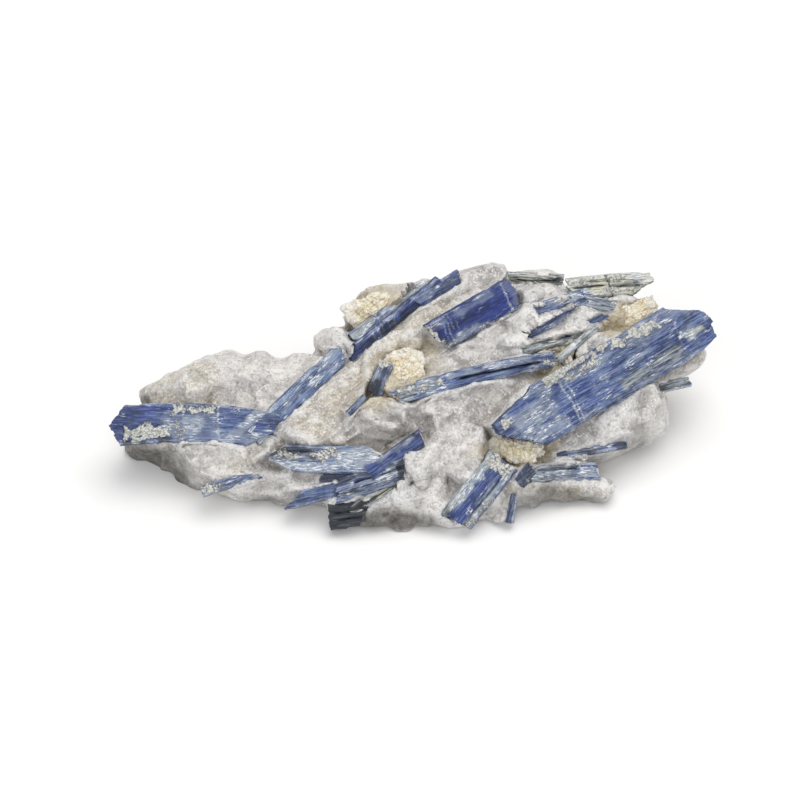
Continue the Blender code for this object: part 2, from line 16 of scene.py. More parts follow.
import bmesh
import bpy
import numpy as np
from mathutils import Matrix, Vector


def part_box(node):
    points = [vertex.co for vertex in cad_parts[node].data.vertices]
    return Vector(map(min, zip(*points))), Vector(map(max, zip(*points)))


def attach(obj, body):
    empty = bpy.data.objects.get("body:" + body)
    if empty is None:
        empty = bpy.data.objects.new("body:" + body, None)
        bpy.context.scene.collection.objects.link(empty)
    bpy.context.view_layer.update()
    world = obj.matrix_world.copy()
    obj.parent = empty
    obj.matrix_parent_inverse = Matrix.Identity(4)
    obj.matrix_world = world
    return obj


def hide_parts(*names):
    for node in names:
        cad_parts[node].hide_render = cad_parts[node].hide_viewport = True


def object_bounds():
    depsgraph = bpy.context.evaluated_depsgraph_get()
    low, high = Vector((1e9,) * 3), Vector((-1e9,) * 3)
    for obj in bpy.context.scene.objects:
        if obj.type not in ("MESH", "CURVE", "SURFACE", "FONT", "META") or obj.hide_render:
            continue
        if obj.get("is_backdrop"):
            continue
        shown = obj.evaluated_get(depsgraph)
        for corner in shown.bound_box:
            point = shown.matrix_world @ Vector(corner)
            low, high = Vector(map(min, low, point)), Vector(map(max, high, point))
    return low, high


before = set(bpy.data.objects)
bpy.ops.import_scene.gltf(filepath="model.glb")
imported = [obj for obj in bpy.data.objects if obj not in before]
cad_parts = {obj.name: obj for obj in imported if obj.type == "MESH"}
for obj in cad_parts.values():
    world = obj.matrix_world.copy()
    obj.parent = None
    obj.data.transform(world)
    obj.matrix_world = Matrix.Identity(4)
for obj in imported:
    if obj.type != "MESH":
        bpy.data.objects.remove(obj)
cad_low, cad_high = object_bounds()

print("packed pieces:", len(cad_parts))
print("packed box in mm:", [round(1000 * (b - a), 1) for a, b in zip(cad_low, cad_high)])

# %% [markdown]
# ## The stone's own frame and the display frame
#
# The stone lies on its flat underside, and its display face leans back by 45 degrees. The
# blades were laid out on that face: u runs along the stone, v up the face and w out of it. So
# the same three numbers are used here, and one function carries them to the stone's frame.
# Arrays are kept in millimetres, because the numbers are then easy to picture, and are turned
# to metres only when they go into a mesh.

# %% From the display frame to the stone's frame
MM = 0.001
DISPLAY_TILT = math.radians(45.0)
FRONT_TO_ORIGIN = 30.0
U_AXIS = np.array((1.0, 0.0, 0.0))
V_AXIS = np.array((0.0, math.sin(DISPLAY_TILT), math.cos(DISPLAY_TILT)))
W_AXIS = np.array((0.0, -math.cos(DISPLAY_TILT), math.sin(DISPLAY_TILT)))
DISPLAY_ORIGIN = np.array((0.0, -FRONT_TO_ORIGIN, 0.0))


def display(u, v, w):
    """u along the stone, plus v up its face, plus w out of it, from the face's lower front."""
    return DISPLAY_ORIGIN + u * U_AXIS + v * V_AXIS + w * W_AXIS


def on_display(points):
    """The u, v and w of points: their offsets from the face's origin, measured on its axes."""
    offset = points - DISPLAY_ORIGIN
    return offset @ U_AXIS, offset @ V_AXIS, offset @ W_AXIS


print("top of the display face at v = 60:", display(0.0, 60.0, 0.0).round(1))

# %% [markdown]
# ## Camera and light
#
# A small stone is best seen from a distance through a long lens, so that its near and far
# parts keep the same scale. The camera looks straight at the display face. One large soft
# lamp hangs above and a little behind the stone: it leaves the undersides of the lumps in
# shade, which is what makes them read as lumps. A second lamp in front of the stone and a
# pale sky keep that shade from going black.

# %% Camera
VIEW_CENTRE = (-3.0, 33.25)
VIEW_WIDTH = 200.0
VIEW_DISTANCE = 2500.0
SENSOR_WIDTH = 36.0

camera = bpy.data.objects.new("camera", bpy.data.cameras.new("camera"))
camera.data.sensor_width = SENSOR_WIDTH
camera.data.lens = SENSOR_WIDTH * VIEW_DISTANCE / VIEW_WIDTH
camera.data.clip_end = 20.0
camera.location = display(*VIEW_CENTRE, VIEW_DISTANCE) * MM
camera.rotation_euler = (math.pi / 2.0 - DISPLAY_TILT, 0.0, 0.0)
bpy.context.scene.collection.objects.link(camera)
bpy.context.scene.camera = camera
bpy.context.scene.view_settings.view_transform = "Standard"
print("lens in mm:", camera.data.lens)

# %% Lamps and the sky's light
Lamp = namedtuple("Lamp", "name place target size power colour")
LAMPS = (
    Lamp("key", (0.18, 0.10, 1.00), (0.0, 0.0, 0.015), 0.85, 6.0, (1.0, 0.985, 0.96)),
    Lamp("fill", (-0.35, -1.10, 0.95), (0.0, 0.0, 0.015), 0.90, 4.6, (0.97, 0.985, 1.0)),
)
SKY_STRENGTH = 0.64


def add_lamp(lamp):
    """A square area lamp that looks from its place at its target."""
    data = bpy.data.lights.new(lamp.name, "AREA")
    data.size = lamp.size
    data.energy = lamp.power
    data.color = lamp.colour
    made = bpy.data.objects.new(lamp.name, data)
    made.location = lamp.place
    aim = np.array(lamp.target) - np.array(lamp.place)
    across = math.hypot(aim[0], aim[1])
    made.rotation_euler = (math.atan2(across, -aim[2]), 0.0, math.atan2(aim[1], aim[0]) - math.pi / 2)
    bpy.context.scene.collection.objects.link(made)
    return made


for lamp in LAMPS:
    add_lamp(lamp)
sky = bpy.data.worlds.new("sky")
sky.use_nodes = True
sky.node_tree.nodes["Background"].inputs["Color"].default_value = (1.0, 1.0, 1.0, 1.0)
sky.node_tree.nodes["Background"].inputs["Strength"].default_value = SKY_STRENGTH
bpy.context.scene.world = sky
print("lamps:", [lamp.name for lamp in LAMPS])

# %% [markdown]
# ## Shader sums written as Python
#
# A finish is a sum of masks: streaks, flecks, stains. Wired by hand, such sums fill a screen.
# Here one small class stands for an output socket, and its operators add the Math nodes, so a
# mask is written as it is spoken: `1 - film` or `streak * haze`. Colours and vectors never
# pass through a Math node, which would turn them grey. They go through Mix and Vector Math.

# %% Wire and Finish
class Wire:
    """An output socket of a finish, on which plain arithmetic works."""

    def __init__(self, finish, socket):
        self.finish = finish
        self.socket = socket

    def math(self, operation, *values):
        """A Math node of that operation on the values."""
        return self.finish.node(
            "ShaderNodeMath", {"operation": operation}, dict(enumerate(values)))

    def __add__(self, other):
        return self.math("ADD", self, other)

    def __sub__(self, other):
        return self.math("SUBTRACT", self, other)

    def __rsub__(self, other):
        return self.math("SUBTRACT", other, self)

    def __mul__(self, other):
        return self.math("MULTIPLY", self, other)

    __radd__ = __add__
    __rmul__ = __mul__

    def over(self, low, high):
        """0 below low, 1 above high, and a smooth step between them."""
        return self.finish.node(
            "ShaderNodeMapRange", {"interpolation_type": "SMOOTHSTEP"},
            {"Value": self, "From Min": low, "From Max": high})

    def turned(self, angles):
        """A vector turned about X, Y and Z by the angles."""
        return self.finish.node(
            "ShaderNodeVectorRotate", {"rotation_type": "EULER_XYZ"},
            {"Vector": self, "Rotation": angles})

    def vector(self, operation, *values):
        """A Vector Math node of that operation on this vector and the values."""
        return self.finish.node(
            "ShaderNodeVectorMath", {"operation": operation}, dict(enumerate((self, *values))))

    def stretched(self, x, y, z):
        """A vector with its parts multiplied by x, y and z."""
        return self.vector("MULTIPLY", (x, y, z))


class Finish:
    """A material being made: its nodes, and the Principled shader that they feed."""

    def __init__(self, name):
        self.material = bpy.data.materials.new(name)
        self.material.use_nodes = True
        self.tree = self.material.node_tree
        self.shader = self.tree.nodes["Principled BSDF"]

    def join(self, socket, value):
        """Links a wire to the socket, or sets the socket to a plain value."""
        if isinstance(value, Wire):
            self.tree.links.new(value.socket, socket)
        else:
            socket.default_value = value

    def node(self, kind, settings, inputs, output=0):
        """Adds a node, sets its settings and then its inputs, and gives one of its outputs."""
        made = self.tree.nodes.new(kind)
        for name, value in settings.items():
            setattr(made, name, value)
        for name, value in inputs.items():
            self.join(made.inputs[name], value)
        return Wire(self, made.outputs[output])

    def attribute(self, name, output="Fac"):
        """A value, or with output Vector a vector, that the mesh carries at its points."""
        return self.node("ShaderNodeAttribute", {"attribute_name": name}, {}, output)

    def place(self):
        """Where a point is on the piece, in millimetres."""
        metres = self.node("ShaderNodeTexCoord", {}, {}, "Object")
        return metres.stretched(1000.0, 1000.0, 1000.0)

    def noise(self, at, scale, detail=3.0, roughness=0.55, output=0):
        """Layered noise at each place: one number, or with output Color three of them."""
        return self.node("ShaderNodeTexNoise", {}, {
            "Vector": at, "Scale": scale, "Detail": detail, "Roughness": roughness}, output)

    def cells(self, at, scale, feature="F1", output="Distance"):
        """A pattern of cells: the distance to a cell's seed or edge, or each cell's colour."""
        return self.node(
            "ShaderNodeTexVoronoi", {"feature": feature}, {"Vector": at, "Scale": scale}, output)

    def red(self, colour):
        """The first of a colour's three numbers."""
        return self.node("ShaderNodeSeparateColor", {}, {"Color": colour})

    def mix(self, share, first, second):
        """The first colour where share is 0 and the second where it is 1."""
        return self.node(
            "ShaderNodeMix", {"data_type": "RGBA"}, {0: share, 6: first, 7: second}, 2)

    def bump(self, height, distance, strength=1.0):
        """The surface normal as if the skin were raised by height times distance, in metres."""
        return self.node("ShaderNodeBump", {}, {
            "Height": height, "Distance": distance, "Strength": strength})

    def set(self, **sockets):
        """Sets or links sockets of the shader, named with _ for a space."""
        for name, value in sockets.items():
            self.join(self.shader.inputs[name.replace("_", " ")], value)


def rgb(red, green, blue):
    """A colour in linear light, as a socket takes it."""
    return (red, green, blue, 1.0)


print("an opaque mid grey:", rgb(0.5, 0.5, 0.5))

# %% [markdown]
# ## The floor
#
# The stone lies on a plain pale sheet, so wide that its edge is never seen. It could be one
# flat white, but a little soft noise keeps it from looking like an empty page.

# %% The floor
FLOOR_SIZE = 6.0

floor_finish = Finish("floor")
floor_grain = floor_finish.noise(floor_finish.place(), 0.02)
floor_finish.set(
    Base_Color=floor_finish.mix(floor_grain, rgb(0.88, 0.88, 0.88), rgb(0.90, 0.90, 0.90)),
    Roughness=0.9)
floor_mesh = bpy.data.meshes.new("floor")
half = FLOOR_SIZE / 2.0
floor_mesh.from_pydata(
    [(-half, -half, 0), (half, -half, 0), (half, half, 0), (-half, half, 0)], [], [(0, 1, 2, 3)])
floor_mesh.materials.append(floor_finish.material)
floor = bpy.data.objects.new("floor", floor_mesh)
bpy.context.scene.collection.objects.link(floor)
floor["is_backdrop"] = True
print("floor in m:", FLOOR_SIZE)

# %% [markdown]
# ## Noise as whole arrays
#
# Broken stone has no two places alike, and it must still come out the same each time the
# script runs. So every random number here is worked out from a place: the lattice cell a point
# lies in is scrambled to a number from 0 to 1. Smooth noise blends the numbers of the eight
# corners round a point, and layered noise adds finer and finer smooth noise.

# %% Smooth noise
CORNERS = [np.array((i, j, k)) for i in (0, 1) for j in (0, 1) for k in (0, 1)]
PRIMES = (np.uint32(73856093), np.uint32(19349663), np.uint32(83492791))


def cell_random(cells, seed):
    """A number from 0 to 1 for each cell: its three whole numbers times large primes, mixed
    bit by bit and scrambled."""
    whole = cells.astype(np.uint32)
    mixed = np.uint32(seed * 7919 + 101) ^ (whole[..., 0] * PRIMES[0])
    mixed = mixed ^ (whole[..., 1] * PRIMES[1]) ^ (whole[..., 2] * PRIMES[2])
    mixed = (mixed ^ (mixed >> np.uint32(15))) * np.uint32(2246822519)
    mixed = (mixed ^ (mixed >> np.uint32(13))) * np.uint32(3266489917)
    return (mixed ^ (mixed >> np.uint32(16))) / 2.0 ** 32


def smooth_noise(points, scale, seed):
    """Noise from 0 to 1 in patches of one scale: the numbers at the eight corners of a point's
    cell, weighted by smooth steps of how near the point is to each."""
    at = points / scale
    cell = np.floor(at).astype(np.int64)
    near = at - cell
    near = near * near * (3.0 - 2.0 * near)
    total = np.zeros(len(points))
    for corner in CORNERS:
        weight = np.where(corner == 1, near, 1.0 - near).prod(axis=1)
        total += weight * cell_random(cell + corner, seed)
    return total


def layered_noise(points, scale, seed, layers=3):
    """Noise from -1 to 1: layers of smooth noise, each half as large and half as strong."""
    shares = [0.5 ** i for i in range(layers)]
    parts = [share * smooth_noise(points, scale * share, seed + 17 * i)
             for i, share in enumerate(shares)]
    return 2.0 * sum(parts) / sum(shares) - 1.0


def ramp(values, low, high):
    """0 below low, 1 above high and a smooth step between: t times t times (3 minus 2 t)."""
    t = np.clip((values - low) / (high - low), 0.0, 1.0)
    return t * t * (3.0 - 2.0 * t)


SAMPLE = np.array([[1.0, 2.0, 3.0], [4.0, 5.0, 6.0]])
print("noise at two places:", layered_noise(SAMPLE, 2.0, 1).round(3))

# %% [markdown]
# ## Broken skins as whole arrays
#
# Stone breaks in two ways here. Grains and crumbs have flat faces that meet at sharp edges.
# Solid quartz breaks like glass, in shallow bowls that meet in ridges. Both come from seeds
# strewn one to a cell, each with a level and a lean of its own. For facets a point follows
# its nearest seed alone. For scallops every seed near it offers a bowl, and the lowest wins.

# %% Facets and scallops
NEIGHBOURS = [np.array((i, j, k)) for i in (-1, 0, 1) for j in (-1, 0, 1) for k in (-1, 0, 1)]
FACET_SLOPE = 1.8
BOWL_LEVELS = 0.4


def near_seeds(points, scale, seed):
    """For a point's own cell and each cell next to it, three arrays: the distance from that
    cell's seed squared, in cells, the seed's level from 0 to 1, and its lean at the point,
    which is its slope's three numbers times those of the offset from it, added up."""
    at = points / scale
    cell = np.floor(at).astype(np.int64)
    for step in NEIGHBOURS:
        home = cell + step
        away = at - home - np.stack([cell_random(home, seed + i) for i in range(3)], axis=1)
        lean = np.stack([cell_random(home, seed + 3 + i) for i in range(3)], axis=1) - 0.5
        yield (away * away).sum(axis=1), cell_random(home, seed + 6), (away * lean).sum(axis=1)


def facets(points, scale, seed):
    """Heights from about -1 to 1 of a skin broken into flat faces: the nearest seed's level
    plus its slope times the distance from it."""
    nearest = np.full(len(points), np.inf)
    height = np.zeros(len(points))
    for far, level, lean in near_seeds(points, scale, seed):
        height = np.where(far < nearest, level - 0.5 + FACET_SLOPE * lean, height)
        nearest = np.minimum(far, nearest)
    return height


def scallops(points, scale, seed, slope, bowl):
    """Heights from about -0.5 to 0.5 of a skin of shallow bowls: the lowest of each near
    seed's level, plus slope times its lean, plus bowl times the distance from it squared. The
    middle value of them all is taken off, so that the skin neither grows nor shrinks."""
    lowest = np.full(len(points), np.inf)
    for far, level, lean in near_seeds(points, scale, seed):
        lowest = np.minimum(lowest, BOWL_LEVELS * level + slope * lean + bowl * far)
    return lowest - np.median(lowest)


print("facets at two places:", facets(SAMPLE, 2.0, 1).round(3))

# %% [markdown]
# ## From arrays to a piece
#
# Every piece is made the same way at the end: points in millimetres and faces go into one
# mesh, values that the finish needs go in as point attributes, and the piece is tied to the
# stone's one body and to the imported solid that it stands for. How far it stands past that
# solid's box is printed.

# %% Making a piece
made_pieces = {}


def add_values(mesh, values):
    """Stores each named array at the mesh's points: a number, or a vector of three."""
    for name, array in values.items():
        kind = "FLOAT_VECTOR" if array.ndim == 2 else "FLOAT"
        layer = mesh.attributes.new(name, kind, "POINT")
        field = "vector" if array.ndim == 2 else "value"
        layer.data.foreach_set(field, array.astype(np.float32).ravel())


def outward(mesh):
    """Turns every closed shell of the mesh so that its faces point out."""
    bm = bmesh.new()
    bm.from_mesh(mesh)
    bmesh.ops.recalc_face_normals(bm, faces=bm.faces[:])
    bm.to_mesh(mesh)
    bm.free()


def add_piece(node, mesh, finish):
    """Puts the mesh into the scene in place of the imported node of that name."""
    mesh.materials.clear()
    mesh.materials.append(finish.material)
    piece = bpy.data.objects.new(node + "_dressed", mesh)
    bpy.context.scene.collection.objects.link(piece)
    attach(piece, "root")
    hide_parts(node)
    made_pieces[node] = piece
    return piece


def report(node):
    """Prints a piece's triangles and how far it stands outside the solid it replaces, in mm."""
    mesh = made_pieces[node].data
    points = np.zeros(len(mesh.vertices) * 3)
    mesh.vertices.foreach_get("co", points)
    points = points.reshape(-1, 3)
    low, high = (np.array(corner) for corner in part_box(node))
    past = max((low - points.min(axis=0)).max(), (points.max(axis=0) - high).max())
    print(f"{node}: {len(mesh.loop_triangles)} triangles, {past / MM:.2f} mm past the solid")


low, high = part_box("quartz_matrix")
print("the packed quartz in mm:", [round(1000 * (b - a), 1) for a, b in zip(low, high)])

# %% [markdown]
# ## Kyanite: the shape of a blade
#
# Kyanite grows as flat blades that split along their length. A blade is a stack of strips,
# each a little higher or lower than the next and broken off at its own length, with fine
# grooves along it, thin steps where a layer has come away, and cracks straight across. That
# could be carved from a block, but it is simpler to carry a cross-section along the blade: a
# grid with its columns across the blade and its stations along it. The grooves then follow
# the columns exactly. The places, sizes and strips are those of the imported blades, and so are
# the cuts of their ends. Only the diagonal blade's two ends and the largest blade's far end
# were drawn anew, a little closer to the stone.
#
# Start and end are u, v and w. An end's cut says how far back from it the blade stops, at
# shares from -0.5 to 0.5 of its width.

# %% Blades at the left and the top
Blade = namedtuple(
    "Blade", "name start end width thick roll bow strips ragged start_cut end_cut")
SQUARE = ((-0.5, 0.0), (0.5, 0.0))

BLADES = {
    "crossed_blades": (
        Blade("broad", (-76.2, 26.4, -3.5), (-33, 24.6, 0.5), 9.6, 4.0, -12, 1.8, 4, 0.8,
              ((-0.5, 3.2), (0.0, 0.0), (0.5, 3.6)), ((-0.5, 8.0), (0.0, 0.6), (0.5, 0.0))),
        Blade("diagonal", (-40, 23.5, 0.1), (-16.8, 45.9, -7.0), 4.9, 3.2, 18, 0, 2, 0.3,
              SQUARE, ((-0.5, 2.8), (-0.2, 0.7), (0.1, 0.0), (0.35, 0.7), (0.5, 2.4))),
    ),
    "upper_bundle": (
        Blade("dark", (-16.4, 43.9, -5.8), (7, 63.0, -16.0), 3.0, 3.4, 20, 0, 2, 1.2,
              ((-0.5, 0.0), (0.5, 2.5)), SQUARE),
        Blade("pale", (-15.5, 47.8, -9.5), (4, 62.2, -17.0), 3.4, 3.0, -10, 0, 2, 1.2,
              SQUARE, SQUARE),
        Blade("tip", (0, 57.0, -12.5), (12.5, 64.6, -18.0), 3.4, 3.0, 6, 0, 2, 0.8,
              ((-0.5, 2.0), (0.5, 0.0)), ((-0.5, 1.0), (0.5, 0.0))),
    ),
    "royal_blade": (
        Blade("royal", (4.2, 48.0, -7.2), (26.4, 60.8, -13.2), 7.6, 4.2, 10, 0, 4, 0.8,
              ((-0.5, 2.4), (0.5, 0.0)), ((-0.5, 1.6), (0.1, 0.0), (0.5, 1.0))),
    ),
    "long_middle_blade": (
        Blade("long", (-6.4, 33.5, 1.2), (37.5, 43.8, -6.0), 4.0, 3.0, 8, 0.8, 3, 2.2,
              ((-0.5, 2.5), (0.5, 0.0)), SQUARE),
    ),
}
print("blades so far:", sum(len(group) for group in BLADES.values()))

# %% Blades at the right
BLADES |= {
    "broad_right_blade": (
        Blade("broad", (21.8, 23.6, 4.6), (74.4, 54.5, -9.8), 14.2, 4.4, 6, 0, 6, 1.0,
              ((-0.5, 9.5), (-0.03, 0.3), (0.27, 0.0), (0.5, 12.5)),
              ((-0.5, 8.0), (-0.4, 0.8), (-0.12, 0.0), (0.12, 0.4), (0.5, 9.0))),
    ),
    "upper_right_bundle": (
        Blade("blue", (30.5, 55.4, -10.5), (45.0, 60.0, -13.5), 3.2, 3.0, 8, 0, 2, 1.0,
              SQUARE, SQUARE),
        Blade("band", (38.5, 58.6, -12.4), (51.0, 56.2, -13.0), 3.8, 3.0, 0, 0, 2, 0.8,
              SQUARE, SQUARE),
        Blade("fork", (27.2, 48.8, -8.4), (44.0, 58.6, -12.6), 2.8, 2.6, 12, -0.6, 2, 0.5,
              ((-0.5, 3.0), (0.0, 0.0), (0.5, 4.0)), SQUARE),
        Blade("grey", (37.5, 60.6, -15.0), (61.8, 62.4, -15.0), 5.2, 4.4, -6, 0.4, 4, 1.8,
              ((-0.5, 4.0), (0.5, 0.0)), ((-0.5, 5.0), (0.2, 0.0), (0.5, 1.0))),
    ),
    "back_blade": (
        Blade("back", (24, 64.0, -21.5), (38.8, 63.4, -22.0), 3.0, 2.4, 10, 0, 2, 0.8,
              SQUARE, SQUARE),
    ),
    "short_right_blade": (
        Blade("short", (26.4, 45.5, -5.4), (43.2, 49.4, -8.6), 2.4, 2.4, 12, 0.5, 2, 0.8,
              ((-0.5, 1.5), (0.5, 0.0)), SQUARE),
    ),
    "rib_blade": (
        Blade("rib", (36.2, 43.0, -1.6), (46.4, 51.6, -6.6), 1.5, 2.2, -10, 0, 1, 0.3,
              SQUARE, SQUARE),
    ),
    "chip_blade": (
        Blade("chip", (42.6, 51.4, -8.4), (49.6, 55.2, -10.6), 2.8, 2.0, 10, 0, 1, 0.3,
              ((-0.5, 2.4), (0.5, 0.0)), ((-0.5, 0.0), (0.5, 2.4))),
    ),
}
print("blades so far:", sum(len(group) for group in BLADES.values()))

# %% Blades in the middle and along the lower edge
BLADES |= {
    "dark_nub": (
        Blade("nub", (-9.6, 33.4, 1.4), (-6.4, 42.6, -2.2), 3.6, 3.0, -25, 0, 2, 0.8,
              ((-0.5, 0.0), (0.5, 1.5)), SQUARE),
    ),
    "edge_sliver": (
        Blade("edge", (-16.2, 29.6, 1.8), (-11.6, 34.4, 0.8), 1.3, 2.4, 30, 0, 1, 0.3,
              SQUARE, SQUARE),
    ),
    "lower_bundle": (
        Blade("left", (-36.6, 19.2, 1.0), (-6.8, 18.6, 3.2), 6.4, 3.4, -6, -0.5, 3, 1.2,
              ((-0.5, 6.5), (-0.05, 0.0), (0.5, 5.0)), ((-0.5, 2.0), (0.0, 0.0), (0.5, 3.0))),
        Blade("bright", (-11.2, 14.8, 3.6), (3.2, 24.3, 2.8), 3.8, 3.4, 6, 0, 2, 0.6,
              SQUARE, ((-0.5, 1.2), (0.5, 0.0))),
        Blade("hollow", (-23.5, 14.6, 0.6), (-6.0, 15.8, 2.0), 4.4, 3.0, 10, 0, 2, 1.8,
              SQUARE, SQUARE),
        Blade("middle", (-21.0, 9.6, 2.4), (-0.6, 16.3, 3.6), 5.4, 3.8, -8, 0, 3, 1.6,
              ((-0.5, 0.0), (0.5, 3.0)), ((-0.5, 1.0), (0.5, 0.0))),
        Blade("tail", (-32.2, 7.6, 0.2), (-17.0, 11.2, 2.2), 3.6, 3.2, -8, 0, 2, 0.8,
              ((-0.5, 0.0), (0.5, 5.0)), SQUARE),
        Blade("low", (-15.6, 4.8, 1.8), (-2.6, 13.2, 3.0), 3.2, 3.0, -16, 0, 2, 1.2,
              SQUARE, ((-0.5, 1.5), (0.5, 0.0))),
        Blade("foot", (-21.4, 4.0, 1.6), (-9.6, 5.4, 2.0), 6.2, 3.6, -4, 0, 2, 1.6,
              SQUARE, ((-0.5, 3.0), (0.5, 0.0))),
        Blade("heel", (-20.4, 2.4, 0.6), (-12.0, 7.6, 2.4), 3.0, 3.2, 14, 0, 2, 0.8,
              SQUARE, SQUARE),
    ),
    "lower_middle_blade": (
        Blade("bottom", (23.2, 18.4, 1.6), (9.8, 1.8, 2.6), 8.0, 3.8, 4, 0, 4, 0.6,
              SQUARE, ((-0.5, 0.4), (0.5, 2.0))),
    ),
    "lower_right_bundle": (
        Blade("teal", (28.4, 14.2, -1.6), (47.8, 15.4, -5.0), 4.6, 2.8, -14, 0, 3, 1.4,
              SQUARE, ((-0.5, 0.0), (0.5, 1.5))),
        Blade("plate", (26.4, 12.0, -0.6), (30.6, 16.6, -1.8), 4.0, 2.0, -6, 0, 1, 0.3,
              SQUARE, ((-0.5, 1.0), (0.5, 0.0))),
    ),
    "ledge_sliver": (
        Blade("ledge", (35.6, 19.0, -3.2), (54.0, 22.2, -7.6), 2.0, 2.4, -24, 0, 1, 0.5,
              SQUARE, SQUARE),
    ),
    "left_sliver": (
        Blade("left", (-52.6, 10.4, 0.4), (-37.2, 15.4, 1.8), 2.8, 2.4, -12, 0, 2, 0.6,
              SQUARE, ((-0.5, 0.0), (-0.1, 1.0), (0.5, 9.0))),
    ),
    "far_right_blade": (
        Blade("far", (62.0, 36.2, -9.6), (70.0, 38.0, -12.0), 2.2, 2.6, 0, 0, 2, 0.6,
              SQUARE, SQUARE),
    ),
    "foot_sliver": (
        Blade("foot", (24.4, 2.4, 0.2), (25.8, 9.8, -0.6), 1.6, 3.0, -20, 0, 1, 0.3,
              SQUARE, SQUARE),
    ),
}
print("blades:", sum(len(group) for group in BLADES.values()), "in", len(BLADES), "pieces")

# %% [markdown]
# ## Kyanite: what is special about each blade
#
# No two blades look alike. One is nearly pure royal blue, the next grey-green and fibrous, a
# third is half hidden by a cream crust. The shared pattern of streaks comes from the finish.
# What belongs to one blade is listed here by its place on it: x is millimetres from the
# blade's start, and the share runs from -0.5 to 0.5 across its width. Each entry becomes a
# soft-edged mask, roughened by noise so that no patch has a drawn outline.
#
# A look's first three numbers are how royal blue, how grey-green and how hazy the whole blade
# is. A vein is a pale line across the blade, a crack a dark one, and a slit runs along it. A
# dark patch is partly darker crystal and partly painted shade, as along a lower edge or at a
# sunken end.

# %% Looks at the left, the top and the middle
Patch = namedtuple("Patch", "x0 x1 low high strength")
Vein = namedtuple("Vein", "x_low x_high width strength")
Slit = namedtuple("Slit", "x0 x1 share width depth")
Look = namedtuple(
    "Look", "royal sage haze crusts films veins cracks slits royals sages darks",
    defaults=(0.3, 0.0, 0.4, (), (), (), (), (), (), (), ()))

LOOKS = {
    ("crossed_blades", "broad"): Look(
        0.42, 0.0, 0.45,
        crusts=(Patch(4.4, 16, -0.44, -0.10, 1.0), Patch(16.5, 27.5, 0.20, 0.46, 0.65),
                Patch(16, 20, -0.4, 0.1, 0.35)),
        films=(Patch(19, 24.5, -0.33, 0.19, 0.95), Patch(14, 20, -0.44, 0.05, 0.7),
               Patch(26, 44, -0.5, -0.1, 0.5), Patch(14, 28, -0.5, 0.3, 0.35)),
        veins=(Vein(30, 38.5, 3.4, 0.8), Vein(19.4, 18.8, 0.3, 0.9), Vein(28.4, 27.6, 0.35, 0.9)),
        royals=(Patch(-2, 13, -0.6, 0.6, 0.85), Patch(37, 44, 0.0, 0.5, 1.0),
                Patch(25, 31, -0.1, 0.5, 0.5)),
        darks=(Patch(3, 34, -0.52, -0.44, 0.8), Patch(-1, 8, -0.4, 0.6, 0.35))),
    ("crossed_blades", "diagonal"): Look(
        0.28, 0.0, 0.80,
        crusts=(Patch(31.4, 34, -0.5, 0.5, 0.75),),
        films=(Patch(4, 34, 0.22, 0.5, 0.7), Patch(-1, 5.5, -0.6, 0.6, 1.0),
               Patch(5, 34, -0.3, 0.2, 0.3)),
        darks=(Patch(4, 33, -0.52, -0.40, 0.9),)),
    ("upper_bundle", "dark"): Look(
        0.5, 0.15, 0.22,
        veins=tuple(Vein(x, x + 0.5, 0.3, 0.8) for x in (8.5, 10.2, 11.6, 13.6, 15.4)),
        films=(Patch(18, 32, 0.30, 0.5, 0.3),),
        darks=(Patch(0, 9, -0.5, 0.2, 0.6), Patch(8, 34, -0.6, 0.35, 0.9))),
    ("upper_bundle", "pale"): Look(
        0.2, 0.1, 0.6,
        veins=tuple(Vein(x, x + 0.5, 0.3, 0.7) for x in (7.1, 9.0, 10.6, 12.2, 14.0, 15.8)),
        films=(Patch(0, 26, 0.0, 0.5, 1.0), Patch(-1, 5, -0.6, 0.6, 1.0)),
        sages=(Patch(0, 26, 0.05, 0.5, 0.6),),
        darks=(Patch(4, 26, -0.52, -0.36, 0.6),)),
    ("upper_bundle", "tip"): Look(
        0.4, 0.0, 0.40, films=(Patch(0, 16, 0.1, 0.5, 0.4),),
        darks=(Patch(10, 16, -0.5, 0.5, 0.6), Patch(0, 16, -0.52, -0.2, 0.7))),
    ("royal_blade", "royal"): Look(
        0.9, 0.0, 0.15,
        crusts=(Patch(-1, 2.8, -0.6, 0.6, 0.85), Patch(2, 20, -0.5, -0.42, 0.45)),
        films=(Patch(2, 23, 0.30, 0.5, 0.5), Patch(23.2, 27, -0.5, 0.5, 0.4),
               Patch(1, 16, -0.5, -0.26, 0.75)),
        veins=(Vein(22.4, 23.0, 0.5, 0.9), Vein(4.2, 5.0, 0.25, 0.7), Vein(5.4, 6.0, 0.25, 0.7),
               Vein(6.6, 7.0, 0.25, 0.7), Vein(8.0, 8.4, 0.2, 0.5)),
        royals=(Patch(3, 22, -0.24, 0.2, 1.0),),
        darks=(Patch(5, 21, -0.06, 0.1, 0.5), Patch(0.5, 4, -0.4, 0.4, 0.5))),
    ("long_middle_blade", "long"): Look(
        0.35, 0.0, 0.60,
        crusts=(Patch(3, 14, 0.0, 0.5, 0.7), Patch(41, 47, -0.5, 0.1, 0.6)),
        films=(Patch(16, 38, 0.12, 0.5, 0.8), Patch(14, 40, -0.5, -0.36, 0.6),
               Patch(0, 14, -0.5, 0.5, 0.7)),
        slits=(Slit(18, 41, -0.02, 0.55, 0.8), Slit(2, 9, -0.2, 0.35, 0.5)),
        darks=(Patch(16, 40, -0.5, -0.1, 0.3),)),
}
print("looks so far:", len(LOOKS))

